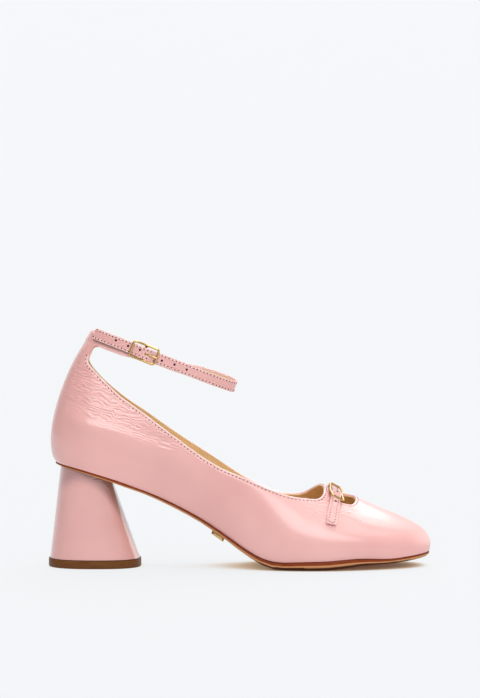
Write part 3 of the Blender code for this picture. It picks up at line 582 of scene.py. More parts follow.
upper = upper_sheet("upper_leather")
over_sole(upper)
fine = placed("fine_sheet", upper.data.copy())
for sheet, levels in ((fine, 3), (upper, 2)):
    worked(sheet, "SUBSURF", levels=levels, render_levels=levels, boundary_smooth="PRESERVE_CORNERS")
    tab_to_strap(sheet)
    toe_down(sheet)
    collar_line(sheet)
FINE_SURFACE = surface(fine)
bpy.data.objects.remove(fine)
TOPLINES = toplines(upper)


def even(loop, step, closed=True):
    """A line of places, set out again at even steps."""
    line = np.concatenate([loop, loop[:1]]) if closed else loop
    lengths = np.concatenate([[0.0], np.cumsum(np.linalg.norm(np.diff(line, axis=0), axis=1))])
    count = max(2, int(round(lengths[-1] / step)) + 1)
    at = np.linspace(0.0, lengths[-1], count)
    return np.stack([np.interp(at, lengths, line[:, axis]) for axis in range(3)], axis=1)


RIM_POINTS = near_points(np.concatenate([even(loop, RIM_STEP * MM) for loop in TOPLINES]))

lining = placed("upper_lining", upper.data.copy())
edit(lining)
bpy.ops.transform.shrink_fatten(value=-(LEATHER + LINING_GAP) * MM)
done()
worked(lining, "SOLIDIFY", thickness=LINING * MM, offset=-1.0)
smoothed(lining, 50)
dressed(lining, "sock_leather", TAN)

worked(upper, "SOLIDIFY", thickness=LEATHER * MM, offset=-1.0, use_even_offset=True,
       material_offset_rim=1)
worked(upper, "BEVEL", width=RIM_BEVEL * MM, segments=2, limit_method="ANGLE",
       angle_limit=math.radians(60), material=1)

# Main creases of the counter, ridge heights and half widths with the x and z of points along them
CREASES = (
    (0.20, 0.8, ((21.8, 116.3), (24.8, 116.8), (27.4, 115.1), (30.0, 113.8))),
    (0.16, 0.8, ((13.0, 111.6), (18.2, 110.2), (21.3, 109.2))),
    (0.24, 0.8, ((21.0, 110.9), (26.4, 110.2), (30.5, 109.2), (33.5, 107.1), (36.6, 105.1),
                 (39.2, 104.1), (41.7, 102.2))),
    (0.18, 0.7, ((23.4, 108.6), (28.4, 108.4), (32.0, 107.9), (34.5, 106.0))),
    (0.18, 0.8, ((19.0, 108.2), (22.8, 106.1), (25.3, 104.4))),
    (0.20, 0.8, ((26.0, 101.9), (32.0, 100.5), (35.6, 98.4), (38.1, 98.9), (43.8, 102.0))),
    (0.26, 0.9, ((19.4, 99.2), (23.3, 96.6), (25.9, 94.6), (30.0, 92.8))),
    (0.18, 0.8, ((31.0, 96.0), (35.6, 93.3), (38.6, 91.6))),
    (0.16, 0.7, ((41.0, 91.0), (45.8, 90.6))),
    (0.16, 0.7, ((64.0, 76.9), (70.4, 74.9), (77.5, 73.2))),
    (0.14, 0.7, ((67.0, 79.0), (75.0, 76.6))),
    (0.16, 0.7, ((15.5, 121.8), (19.5, 120.6), (24.0, 120.4))),
    (0.16, 0.7, ((14.7, 125.0), (17.5, 124.6), (20.5, 123.2))),
    (0.18, 0.7, ((36.0, 110.0), (40.0, 107.6), (45.5, 105.4))),
    (0.18, 0.7, ((41.0, 97.2), (47.0, 95.4), (53.0, 93.8))),
    (0.16, 0.7, ((47.5, 89.0), (54.0, 86.6), (60.0, 85.4))),
)
# Small creases that fan out from each side of the vamp strap
VAMP_CREASES = (
    (0.15, 0.55, ((157.6, 39.6), (162.0, 37.8), (167.0, 35.0))),
    (0.15, 0.55, ((160.0, 40.2), (164.0, 38.4), (168.0, 36.6))),
    (0.13, 0.55, ((156.0, 38.2), (160.5, 36.4), (165.5, 33.4))),
    (0.11, 0.55, ((163.0, 40.6), (166.0, 39.4), (168.8, 38.2))),
    (0.15, 0.55, ((177.6, 31.6), (181.0, 32.8), (185.0, 33.6))),
    (0.15, 0.55, ((177.8, 33.0), (181.4, 34.6), (186.0, 35.4))),
    (0.13, 0.55, ((177.4, 30.2), (180.4, 30.8), (184.0, 31.6))),
    (0.11, 0.55, ((178.2, 34.6), (181.2, 36.4), (184.6, 37.2))),
)
CREASE_GAIN = 1.3
CREASE_ENDS = (0.06, 0.94)
TROUGH_DEEP = 0.5       # of a crease's height, in a trough that is wider than the ridge
TROUGH_WIDE = 2.2
# Lower border of the crinkles, x and z, and how they come and go from it, along x and up
CRINKLE_FROM = ((0.0, 99.0), (16.0, 92.5), (28.0, 89.0), (43.5, 84.5), (57.0, 78.0), (73.0, 73.0),
                (92.0, 66.0))
CRINKLE_START = (-2.5, 8.0)
CRINKLE_END = (76.0, 96.0)
CRINKLE_TOP = (124.0, 130.0)
CRINKLE_BACK = (0.35, 6.0, 22.0)    # share left at the back, and the x where all of it is there
CRINKLE_FAINT = (0.45, 44.0, 72.0)  # share lost over these x towards the toe
CRINKLE_WAVE = 1.9                  # from ridge to ridge
CRINKLE_HIGH = 0.095
CRINKLE_SHARP = 1.5
CRINKLE_LOW = 0.8
# How far the ripples wander, over which lengths along and across them, and the place in the noise
WANDER = ((1.9, 7.0, 6.0, 0.0), (0.8, 2.6, 3.0, 2.0))
BREAKS = (6.0, 3.5, 5.0)
BREAKS_KEPT = (0.35, -0.4, 0.25)
INNER_SIDE = 40.0       # place in the noise of the inner side's own ripples
# The vamp strap's small creases, which fade over these y, z and x
FAN_SIDE = (4.0, 10.0)
FAN_LOW = (27.0, 31.0)
FAN_BACK = (153.0, 158.0)
FAN_FRONT = (184.0, 189.0)
# The edge of the stiffener inside makes a shoulder along the lower border of the crinkles
SHOULDER = 0.95
SHOULDER_RUN = (-15.0, -2.0, 7.5)   # its foot, crest and head, from the border
SHOULDER_BACK = (4.0, 20.0)
SHOULDER_FRONT = (68.0, 90.0)


def crinkled(own):
    """How strongly the leather is crinkled at rows of the shoe's millimetres, 0 to 1."""
    x, _, z = own.T
    border = np.interp(x, *np.array(CRINKLE_FROM).T)
    share = smooth(z - border, *CRINKLE_START) * (1.0 - smooth(x, *CRINKLE_END))
    share *= 1.0 - smooth(z, *CRINKLE_TOP)
    left, back, full = CRINKLE_BACK
    lost, start, stop = CRINKLE_FAINT
    return share * (left + (1.0 - left) * smooth(x, back, full)) * (1.0 - lost * smooth(x, start, stop))


def fanned(own):
    """How near places are to the vamp strap's small creases, 0 to 1."""
    x, y, z = own.T
    side = smooth(-y, *FAN_SIDE) * smooth(z, *FAN_LOW)
    return side * smooth(x, *FAN_BACK) * (1.0 - smooth(x, *FAN_FRONT))


def along_creases(spots, creases):
    """Height that creases give to rows of x and z."""
    height = np.zeros(len(spots))
    for high, wide, points in creases:
        points = np.array(points)
        nearest = np.full(len(spots), np.inf)
        run = np.zeros(len(spots))
        for number, (start, stop) in enumerate(zip(points, points[1:])):
            way = stop - start
            share = np.clip((spots - start) @ way / (way @ way), 0.0, 1.0)
            gap = np.linalg.norm(spots - start - share[:, None] * way, axis=1)
            run = np.where(gap < nearest, number + share, run)
            nearest = np.minimum(gap, nearest)
        taper = np.sin(np.pi * np.clip(run / (len(points) - 1), *CREASE_ENDS))
        profile = np.exp(-(nearest / wide) ** 2)
        profile -= TROUGH_DEEP * np.exp(-(nearest / (TROUGH_WIDE * wide)) ** 2)
        height += CREASE_GAIN * high * taper * profile
    return height


def crinkle_height(own):
    """Ripples that wander along their fall, and start and stop."""
    heights = []
    break_long, break_wide, break_place = BREAKS
    left, low, high = BREAKS_KEPT
    for x, y, z in own:
        side = INNER_SIDE if y > 0.0 else 0.0
        along = x * math.cos(CRINKLE_FALL) - z * math.sin(CRINKLE_FALL)
        over = x * math.sin(CRINKLE_FALL) + z * math.cos(CRINKLE_FALL)
        for far, long, wide, place in WANDER:
            over += far * noise.noise((along / long, over / wide, side + place))
        wave = 0.5 + 0.5 * math.sin(2.0 * math.pi * over / CRINKLE_WAVE)
        whole = noise.noise((along / break_long, over / break_wide, side + break_place))
        kept = left + (1.0 - left) * smooth(whole, low, high)
        heights.append(kept * (2.0 * wave ** CRINKLE_SHARP - CRINKLE_LOW))
    return CRINKLE_HIGH * np.array(heights)


def shoulder(own):
    """Height of the shoulder over the stiffener's edge."""
    x, _, z = own.T
    over = z - np.interp(x, *np.array(CRINKLE_FROM).T)
    foot, crest, head = SHOULDER_RUN
    rise = smooth(over, foot, crest) * (1.0 - smooth(over, crest, head))
    return SHOULDER * rise * smooth(x, *SHOULDER_BACK) * (1.0 - smooth(x, *SHOULDER_FRONT))


def rim_gap(places):
    """Distance from the nearest topline, in millimetres."""
    return np.array([RIM_POINTS.find(place)[2] for place in places]) / MM


BAND = 2.6              # the topline's band, cut finely all along
STITCH_IN = 1.5         # from the topline to its row of stitches
OUTSIDE = 0.12          # what lies this near to the outer skin is part of it
CUT_FROM = 0.05         # leather crinkled more than this is cut finely
INNER_CUTS = 1
OUTER_CUTS = 3          # the outer side is seen near
INNER_SHIFT = (-5.0, 3.0)   # in x and z, so that the inner side's creases aren't a mirror image
CREASE_BORDER = 0.3     # main creases are full from this share of crinkling
FAN_RIPPLES = 0.5
RIM_CALM = (0.25, 1.2, 2.6)     # share of the creases left at the topline, and where they are full
TAB_CALM = 4.0          # the roll and the topline's painted highlight end over this height of the tab
ROLL = (0.10, 0.6, 0.45)        # height of the topline's roll, its place and its half width
SEAM = (0.16, STITCH_IN, 0.5)   # depth of the trough that the stitches pull in, place and half width
RIM_HIGHLIGHT_FADE = (0.5, 1.1)        # the painted highlight fades over this way from the topline
CREST_BACK = (180.0, 188.0)     # a little crinkling on top of the toe, between these x and above this z
CREST_FRONT = (200.0, 212.0)
CREST_LOW = (22.0, 30.0)
FAN_MARK = 0.9
CREST_MARK = 0.5
DULL_TOE = (200.0, 216.0)   # the polish fades over these x, and the toe is satin


def creased(piece):
    """The crinkled zones and the topline's band are cut finely and pressed into ridges and troughs."""
    centres = np.array([face.center for face in piece.data.polygons])
    own = in_shoe(centres)
    skin = np.array([FINE_SURFACE.find_nearest(centre)[3] for centre in centres]) < OUTSIDE * MM
    chosen = (crinkled(own) > CUT_FROM) | (fanned(own) > CUT_FROM) | (rim_gap(centres) < BAND)
    chosen &= skin & np.array([face.material_index == 0 for face in piece.data.polygons])
    for cuts, side in ((INNER_CUTS, own[:, 1] > 0.0), (OUTER_CUTS, own[:, 1] <= 0.0)):
        faces = set(np.flatnonzero(chosen & side))
        edit(piece, lambda face: face.index in faces)
        bpy.ops.mesh.subdivide(number_cuts=cuts)
        done()
    places, normals = read(piece, "co"), read(piece, "normal")
    gaps = rim_gap(places)
    height, rubbed, ridge, crinkle, dull = np.zeros((5, len(places)))
    skin = []
    for number, place in enumerate(places):
        spot, _, _, off = FINE_SURFACE.find_nearest(place)
        if off > OUTSIDE * MM:
            continue
        skin.append(number)
        if gaps[number] > 2.0 * RIM_BEVEL:
            places[number] = spot
    skin = np.array(skin)
    own = in_shoe(places[skin])
    x, y, z = own.T
    spots = own[:, [0, 2]]
    share = crinkled(own)
    fans = fanned(own)
    ripples = crinkle_height(own)
    main = along_creases(spots + np.outer(y > 0.0, INNER_SHIFT), CREASES)
    press = share * ripples + smooth(share, 0.0, CREASE_BORDER) * main
    small = along_creases(spots, VAMP_CREASES)
    press += fans * (FAN_RIPPLES * ripples + (1.0 - FAN_RIPPLES) * small)
    gap = gaps[skin]
    left, start, full = RIM_CALM
    press *= left + (1.0 - left) * smooth(gap, start, full)
    tab = 1.0 - smooth(z, TAB_FOOT, TAB_FOOT + TAB_CALM)
    roll, seam = (size * np.exp(-((gap - place) / wide) ** 2) for size, place, wide in (ROLL, SEAM))
    height[skin] = press + shoulder(own) + tab * (roll - seam)
    # Painted highlight: the skin is paler close to the topline, where the rolled edge catches the light.
    rubbed[skin] = tab * (1.0 - smooth(gap, *RIM_HIGHLIGHT_FADE))
    moved(piece, places + normals * (height * MM)[:, None])
    # The ridge mark gives painted highlight on ridges and painted shade in troughs.
    ridge[skin] = np.clip(press / CRINKLE_HIGH, -1.0, 1.0)
    crest = smooth(x, *CREST_BACK) * (1.0 - smooth(x, *CREST_FRONT)) * smooth(z, *CREST_LOW)
    crinkle[skin] = np.maximum(np.maximum(share, FAN_MARK * fans), CREST_MARK * crest)
    dull[skin] = smooth(x, *DULL_TOE)
    marked(piece, ridge=ridge, rubbed=rubbed, crinkle=crinkle, dull=dull)


creased(upper)
smoothed(upper, 50)
dressed(upper, "pink_leather", PINK, EDGE)
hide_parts("upper")
UPPER_SURFACE = surface(upper)


# Heel, sole and insole

EDGE_LIFT = 0.95        # how much of the sole's edge the seat and waist turn under
SEAT_CLOSE = 0.25       # the heel's seat closes up to the sole
LIFT_TO = (110.0, 150.0)
# Gathers of the heel's cover under the sole: x of each fold and its height
PLEATS = ((24.5, 0.35), (27.4, 0.45), (30.2, 0.55), (32.8, 0.6), (35.2, 0.6), (37.2, 0.5))
PLEAT_WIDE = 0.65
PLEAT_LONG = 3.4
PLEAT_LEAN = 1.3
PLEAT_BACK = 4.0        # the first fold comes up over this length
PLEAT_TOP = (0.2, 1.0)
PLEAT_ZONE = (20.0, 36.0)       # x and z past which the cover is cut finely for them
OUTER_FACING = -0.3     # y of the normal, on the outer side
SEAT_LOW = 40.0
COVER_SHADE = 0.07      # the cover is a little darker than the upper
SEAT_SHADE = 0.46       # and painted much darker under the sole: painted shade of the sole's overhang
SEAT_SHADE_BACK = (-4.0, 18.0)
SEAT_SHADE_DEEP = (2.0, 11.0)
SOCK_WIDER = 1.1        # the sock reaches the lining
TOE_IN = 1.5            # the sole stands back this far under the toe
TOE_IN_FROM = (195.0, 225.0)
SIDE_FACING = 0.3       # a side face's normal has this much level length
TREAD_FROM = (116.0, 126.0)     # the tread starts over these x
# Upward faces stay stained. The turned edge is bare, and so is the tread at the waist. In front the tread
# is painted near black, a painted contact shadow where the sole meets the floor. These values tell the
# stain so, at the waist and in front.
EDGE_LOW = (0.82, 1.0)
TREAD_LOW = (0.9, 2.0)
FACING_UP = 0.1         # z of the normals of upward faces and of the tread
FACING_DOWN = -0.85


def sideways(places, normals, far):
    """Points of side faces moved out by that many millimetres, as seen from above."""
    level = np.hypot(normals[:, 0], normals[:, 1])
    share = far * MM * (level > SIDE_FACING) / np.maximum(level, SIDE_FACING)
    places[:, :2] += normals[:, :2] * share[:, None]


heel = in_quads(from_cad("heel", "heel_cover"))
places, normals = read(heel, "co"), read(heel, "normal")
seat = (normals[:, 2] > 0.1) & (places[:, 2] > SEAT_LOW * MM)
places[seat, 2] += SEAT_CLOSE * MM
moved(heel, places)
seat_line = np.polyfit(*in_shoe(places[seat])[:, [0, 2]].T, 2)
worked(heel, "BEVEL", width=0.8 * MM, segments=2, limit_method="ANGLE", angle_limit=math.radians(50))
rounded(heel, 2)
corner = shoe(PLEAT_ZONE[0], 0.0, PLEAT_ZONE[1])
edit(heel, lambda face: face.center.z > corner.z and face.center.x > corner.x
     and face.normal.y < OUTER_FACING)
bpy.ops.mesh.subdivide(number_cuts=3)
done()
places, normals = read(heel, "co"), read(heel, "normal")
own = in_shoe(places)
drop = np.polyval(seat_line, own[:, 0]) - own[:, 2]
leaning = own[:, 0] + PLEAT_LEAN * drop
folds = sum(high * np.exp(-((leaning - x) / PLEAT_WIDE) ** 2) for x, high in PLEATS)
gather = np.exp(-np.clip(drop, 0.0, None) / PLEAT_LONG) * smooth(drop, *PLEAT_TOP)
gather *= smooth(own[:, 0], PLEATS[0][0] - PLEAT_BACK, PLEATS[0][0]) * (normals[:, 1] < OUTER_FACING)
moved(heel, places + normals * (gather * folds * MM)[:, None])
# Painted shade on the cover's top under the sole, and painted highlight and shade on the pleats through
# the ridge mark.
sheltered_seat = smooth(own[:, 0], *SEAT_SHADE_BACK) * (1.0 - smooth(drop, *SEAT_SHADE_DEEP))
marked(heel, shade=COVER_SHADE + SEAT_SHADE * sheltered_seat,
       ridge=np.clip(gather * (5.0 * folds - 1.0), -1.0, 1.0))
smoothed(heel, 40)
dressed(heel, "pink_leather", PINK)
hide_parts("heel")

tip = in_quads(from_cad("heel_tip", "heel_top_piece"))
worked(tip, "BEVEL", width=0.5 * MM, segments=2, limit_method="ANGLE", angle_limit=math.radians(50))
smoothed(tip, 40)
dressed(tip, "tip_rubber", TIP)
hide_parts("heel_tip")

outsole = in_quads(from_cad("outsole", "sole"))
places, normals = read(outsole, "co"), read(outsole, "normal")
under = normals[:, 2] < -0.1
own = in_shoe(places)
lift = smooth(own[:, 0], *SEAT_TO) * (1.0 - smooth(own[:, 0], *LIFT_TO))
places[under, 2] += EDGE_LIFT * MM * lift[under]
sideways(places, normals, -TOE_IN * smooth(own[:, 0], *TOE_IN_FROM))
moved(outsole, places)
toe_down(outsole)
worked(outsole, "BEVEL", width=0.3 * MM, segments=2, limit_method="ANGLE",
       angle_limit=math.radians(30))
smoothed(outsole, 40)
dressed(outsole, "sole_leather", SOLE_EDGE)
rise = read(outsole, "normal")[:, 2]
fore = smooth(in_shoe(read(outsole, "co"))[:, 0], *TREAD_FROM)
edge, tread = (waist + (front - waist) * fore for waist, front in (EDGE_LOW, TREAD_LOW))
marked(outsole, low=np.where(rise > FACING_UP, 0.0, np.where(rise > FACING_DOWN, edge, tread)))
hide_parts("outsole")

insole = in_quads(from_cad("insole", "sock"))
places, normals = read(insole, "co"), read(insole, "normal")
sideways(places, normals, SOCK_WIDER)
moved(insole, places)
toe_down(insole)
worked(insole, "BEVEL", width=0.4 * MM, segments=2, limit_method="ANGLE",
       angle_limit=math.radians(50))
smoothed(insole, 40)
dressed(insole, "sock_leather", SOCK)
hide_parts("insole")


# Stitches

THREAD_LONG = 1.5
THREAD_THICK = 0.5
NEEDLE_WIDE = 0.82
NEEDLE_DEEP = 0.3
BEAD_RISE = 0.1         # the thread's middle stands above the leather, and the needle hole's below
HOLE_RISE = -0.1
CROWDED = 0.93          # of the inset: nearer to the edge, a line's points crowd in a corner
OFF_SHEET = 0.5
LONGEST_JUMP = 1.2
TOPLINE_PITCH = 2.46
STRAP_PITCH = 2.4
VAMP_PITCH = 1.8


def one_stitch():
    """A bead of thread along x and the needle hole after it, as places, faces and material numbers."""
    bpy.ops.object.select_all(action="DESELECT")
    bpy.ops.mesh.primitive_uv_sphere_add(segments=8, ring_count=5, radius=0.5)
    bead = bpy.context.object
    edit(bead)
    bpy.ops.transform.rotate(value=math.radians(90), orient_axis="Y", center_override=(0.0, 0.0, 0.0))
    bpy.ops.transform.resize(value=(THREAD_LONG, THREAD_THICK, THREAD_THICK))
    done()
    bpy.ops.object.select_all(action="DESELECT")
    bpy.ops.mesh.primitive_cylinder_add(vertices=8, radius=0.5 * NEEDLE_WIDE, depth=NEEDLE_DEEP)
    hole = bpy.context.object
    parts = []
    for piece, rise, number in ((bead, BEAD_RISE, 0), (hole, HOLE_RISE, 1)):
        places = read(piece, "co") + np.array((0.0, 0.0, rise))
        parts.append((places, [list(face.vertices) for face in piece.data.polygons], number))
        bpy.data.objects.remove(piece)
    return parts


BEAD, HOLE = one_stitch()


def inward_line(loop, sheet, inset):
    """A line on a sheet, that far in from the loop that is its edge, without the parts that crowd."""
    line = even(loop, RIM_STEP * MM)[:-1]
    tree = near_points(line)
    ahead = np.roll(line, -2, axis=0) - np.roll(line, 2, axis=0)
    kept = []
    for place, way in zip(map(Vector, line), map(Vector, ahead)):
        normal = sheet.find_nearest(place)[1]
        side = normal.cross(way).normalized() * inset * MM
        spot = min((place + side, place - side), key=lambda trial: sheet.find_nearest(trial)[3])
        spot, _, _, off = sheet.find_nearest(spot)
        if off < OFF_SHEET * inset * MM and tree.find(spot)[2] > CROWDED * inset * MM:
            kept.append(spot)
    return np.array(kept)


def runs_of(line, longest):
    """A line in separate runs, broken where it jumps."""
    jumps = np.flatnonzero(np.linalg.norm(np.diff(line, axis=0), axis=1) > longest * MM) + 1
    return [run for run in np.split(line, jumps) if len(run) > 3]


def stitched(name, rows, pitch):
    """Rows of stitches as one piece: lines of places, each with the surface it lies on and a test."""
    places, faces, numbers = [], [], []
    for line, skin, test in rows:
        for run in runs_of(line, LONGEST_JUMP):
            spots = even(run, pitch * MM, closed=False)
            ways = np.gradient(spots, axis=0)
            for spot, way in zip(map(Vector, spots), map(Vector, ways)):
                spot, normal, _, _ = skin.find_nearest(spot)
                if not test(spot, normal):
                    continue
                along = (way - normal * way.dot(normal)).normalized()
                turn = np.array((along, normal.cross(along), normal))
                for (shape, sides, number), shift in ((BEAD, 0.0), (HOLE, 0.5 * pitch)):
                    start = len(places)
                    local = (shape + np.array((shift, 0.0, 0.0))) * MM
                    places.extend(np.array(spot) + local @ turn)
                    faces.extend([start + corner for corner in side] for side in sides)
                    numbers.extend([number] * len(sides))
    mesh = bpy.data.meshes.new(name)
    mesh.from_pydata([tuple(place) for place in places], [], faces)
    mesh.polygons.foreach_set("material_index", numbers)
    piece = placed(name, mesh)
    smoothed(piece, 40)
    dressed(piece, "pink_leather", THREAD, NEEDLE)


STITCH_TOP = 131.0      # the topline's stitches end here, below the tab's corner
topline_rows = [(inward_line(loop, FINE_SURFACE, STITCH_IN), UPPER_SURFACE,
                 lambda spot, normal: spot.z < STITCH_TOP * MM) for loop in TOPLINES]
stitched("topline_stitches", topline_rows, TOPLINE_PITCH)


# Straps and buckles

EDGE_BEVEL = 0.28
LOOP_MIDDLE = shoe(68.0, 0.0, 0.0)
VAMP_MIDDLE = shoe(174.0, 0.0, 10.0)
LOOP_UP = Vector((0.362, 0.0, 0.932))     # square to the plane that the ankle loop lies in
BACK_END = shoe(27.0, 6.0, 0.0)            # the back of the loop, where it is one with the tab
HOLE_WIDE = 1.5
HOLE_DEEP = 0.9
HOLE_VIEW = -80.0       # y that the holes are looked for from
INWARD = Vector((0.0, 1.0, 0.0))


def around_ankle(place):
    """The way out of the ankle loop at a place."""
    way = place - LOOP_MIDDLE
    way.z = 0.0
    return way.normalized()


def over_vamp(place):
    """The way out of the vamp at a place."""
    way = place - VAMP_MIDDLE
    way.x = 0.0
    return way.normalized()


def punched(piece, spots, depth):
    """Round blind holes where the photograph shows them, found by looking along y."""
    skin = surface(piece)
    for column, row in spots:
        y = depth
        for _ in range(2):
            x, z = pictured(column, row, y)
            place, normal, _, _ = skin.ray_cast(shoe(x, HOLE_VIEW, z), INWARD)
            y = in_shoe(np.array(place))[1]
        bpy.ops.object.select_all(action="DESELECT")
        bpy.ops.mesh.primitive_cylinder_add(
            vertices=16, radius=0.5 * HOLE_WIDE * MM, depth=2.0 * HOLE_DEEP * MM, location=place,
            rotation=normal.to_track_quat("Z", "Y").to_euler())
        punch = bpy.context.object
        for material in (PINK, TAN, PUNCH):
            punch.data.materials.append(material)
        for face in punch.data.polygons:
            face.material_index = 2
        worked(piece, "BOOLEAN", object=punch, operation="DIFFERENCE", solver="EXACT")
        bpy.data.objects.remove(punch)


TAIL_END = (shoe(26.0, -13.3, 141.0), shoe(30.0, -11.6, 148.0))   # box of the tail's last points
TAIL_WIDER = 1.3
TAIL_LONGER = Vector((-0.66, 0.75, 0.5)) * MM


def square_tail(piece):
    """The tail's narrow end is drawn out to the strap's full width, nearly square."""
    low, high = TAIL_END
    places = read(piece, "co")
    last = np.all((places > np.array(low)) & (places < np.array(high)), axis=1)
    half = places[:, 1] > places[last][:, 1].mean()
    for end in (last & half, last & ~half):
        middle = places[end].mean(axis=0)
        places[end] = middle + (places[end] - middle) * TAIL_WIDER + np.array(TAIL_LONGER)
    moved(piece, places)


FAR_RISE = 1.4          # the loop's far side shows its lining above the near side
FAR_SIDE = (-3.0, 8.0)
FAR_FRONT = (78.0, 95.0)


def far_side_up(piece):
    """The front of the loop rises a little towards the inner side."""
    places = read(piece, "co")
    x, y, _ = in_shoe(places).T
    places[:, 2] += FAR_RISE * MM * smooth(y, *FAR_SIDE) * smooth(x, *FAR_FRONT)
    moved(piece, places)


SHELTER = 4.0           # the painted shade under the tail reaches this far
SHELTER_SHADE = 0.6
SHELTER_CUTS = 4
OFF_SKIN = 0.15         # a ray starts this far off the skin that it leaves


def sheltered(piece, places, normals):
    """Painted shade: how much darker a strap is at each of the places, close under a layer of its own."""
    skin = surface(piece)
    shades = []
    for place, normal in zip(places, normals):
        way = (normal + LOOP_UP).normalized()
        hit = skin.ray_cast(place + normal * OFF_SKIN * MM, way, SHELTER * MM)[3]
        shades.append(0.0 if hit is None else SHELTER_SHADE * (1.0 - hit / (SHELTER * MM)))
    return shades


def strap_shape(node, name):
    """A strap from its solid. The ankle strap's tail is squared and its far side raised."""
    piece = in_quads(from_cad(node, name))
    if node == "ankle_strap":
        square_tail(piece)
        far_side_up(piece)
    return piece


def leather_strap(node, name, outward, spots, depth, inset):
    """A strap with painted edges, a tan inner face and punched holes, and the lines of its stitches."""
    sheet = strap_shape(node, "strap_sheet")
    edit(sheet, lambda face: face.normal.dot(outward(face.center)) < 0.5)
    bpy.ops.mesh.delete(type="FACE")
    done()
    loops, sheet_surface = open_edges(sheet), surface(sheet)
    bpy.data.objects.remove(sheet)
    piece = strap_shape(node, name)
    for material in (PINK, TAN, PUNCH, EDGE):
        piece.data.materials.append(material)
    painted(piece, 1, lambda face: face.normal.dot(outward(face.center)) < -0.5)
    worked(piece, "BEVEL", width=EDGE_BEVEL * MM, segments=2, limit_method="ANGLE",
           angle_limit=math.radians(50), material=3)
    rounded(piece, 1)
    # Faces close under the tail are cut finer and take a painted shade.
    sides = piece.data.polygons
    base = sheltered(piece, [face.center for face in sides], [face.normal for face in sides])
    edit(piece, lambda face: base[face.index] > 0.0)
    bpy.ops.mesh.subdivide(number_cuts=SHELTER_CUTS)
    done()
    punched(piece, spots, depth)
    corners = piece.data.vertices
    marked(piece, shade=sheltered(piece, [v.co for v in corners], [v.normal for v in corners]))
    smoothed(piece, 40)
    worked(piece, "WEIGHTED_NORMAL", keep_sharp=True)
    dressed(piece, "pink_leather")
    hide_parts(node)
    lines = [inward_line(loop, sheet_surface, inset) for loop in loops if len(loop) > 8]
    return piece, [line for line in lines if len(line) > 3]


OFF_STITCH = 0.2
OFF_LAP = 0.9
LAP_REACH = 1.2


def clear_of(piece, reach):
    """A test that nothing of a piece lies close over a place, and that it isn't behind the tab."""
    skin = surface(piece)

    def test(spot, normal):
        covered = skin.ray_cast(spot + normal * OFF_STITCH * MM, normal, reach * MM)[0]
        lapped = skin.ray_cast(spot + normal * OFF_LAP * MM, LOOP_UP, LAP_REACH * reach * MM)[0]
        behind = spot.x < BACK_END.x and spot.y < BACK_END.y
        return covered is None and lapped is None and not behind

    return test


# Columns and rows of the holes in the photograph
ANKLE_HOLES = ((116.5, 340.5), (128.7, 346.2), (140.5, 350.1), (162.3, 360.8), (174.8, 364.8),
               (186.9, 369.8))
VAMP_HOLES = ((337.2, 490.8), (335.4, 501.2))
# Each strap with the way out of it, its holes and about how deep they lie, the inset of its stitches,
# the reach in which a layer over them hides them, and their pitch
STRAPS = (
    ("ankle_strap", "strap_stitches", around_ankle, ANKLE_HOLES, -22.0, 1.1, 3.0, STRAP_PITCH),
    ("vamp_strap", "vamp_strap_stitches", over_vamp, VAMP_HOLES, -15.0, 1.35, 2.0, VAMP_PITCH),
)
for node, stitches, outward, holes, depth, inset, reach, pitch in STRAPS:
    strap, lines = leather_strap(node, node + "_leather", outward, holes, depth, inset)
    skin = surface(strap)
    stitched(stitches, [(line, skin, clear_of(strap, reach)) for line in lines], pitch)

WIRE_FULLER = 0.14      # rounding with subdivision takes this back off the wire
BUCKLE_WIDER = 1.06     # so that the frame has the photograph's room round the strap
for node, name in (("ankle_buckle", "ankle_buckle_frame"), ("ankle_prong", "ankle_buckle_prong"),
                   ("vamp_buckle", "vamp_buckle_frame"), ("sole_plate", "waist_plate")):
    metal = in_quads(from_cad(node, name))
    if node == "sole_plate":
        upper_face = read(metal, "normal")[:, 2] > 0.0
        moved(metal, read(metal, "co") + np.outer(upper_face, (0.0, 0.0, EDGE_LIFT * MM)))
        worked(metal, "BEVEL", width=0.2 * MM, segments=2, limit_method="ANGLE",
               angle_limit=math.radians(40))
    else:
        edit(metal)
        if node == "ankle_buckle":
            middle = Vector(np.mean(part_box(node), axis=0))
            bpy.ops.transform.resize(value=(BUCKLE_WIDER, 1.0, BUCKLE_WIDER), center_override=middle)
        bpy.ops.transform.shrink_fatten(value=WIRE_FULLER * MM)
        done()
        rounded(metal, 1)
    smoothed(metal, 45)
    dressed(metal, "pale_gold", GOLD)
    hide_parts(node)


# Studio

FLOOR_HALF = 40.0
FLOOR_PAPER = "444546"
FLOOR_GLOW = 0.87       # the paper glows evenly, so shadows on it are faint
CONTACT = 0.045         # the glow gives way to a painted shadow this near under the shoe
CONTACT_OPEN = (0.03, 0.44)     # open share of the sky where the shade is full and where it ends
# Colours of the painted contact shadow on the paper, deep brown and warm as if lit by the sole.
SHADE_DEEP = "6A4636"
SHADE_WARM = "DABF9F"
SHADE_AT = 0.55
PAPER_LIT = "F4F6F8"
bpy.ops.object.select_all(action="DESELECT")
bpy.ops.mesh.primitive_plane_add(size=2 * FLOOR_HALF, location=(0, 0, 0))
floor = bpy.context.object
floor.name = "studio_floor"
floor_paper, floor_shader, _ = material_of("pale_paper", Roughness=0.9)
floor_shader.inputs["Base Color"].default_value = linear(FLOOR_PAPER)
near = add(floor_paper, "ShaderNodeAmbientOcclusion", {"Distance": CONTACT}, samples=8)
open_share = add(floor_paper, "ShaderNodeMapRange",
                 {"Value": near.outputs["AO"], "From Min": CONTACT_OPEN[0], "From Max": CONTACT_OPEN[1]})
glow = add(floor_paper, "ShaderNodeValToRGB", {"Fac": open_share.outputs[0]})
shades = glow.color_ramp.elements
shades[0].color = linear(SHADE_DEEP)
shades[1].color = linear(PAPER_LIT)
shades.new(SHADE_AT).color = linear(SHADE_WARM)
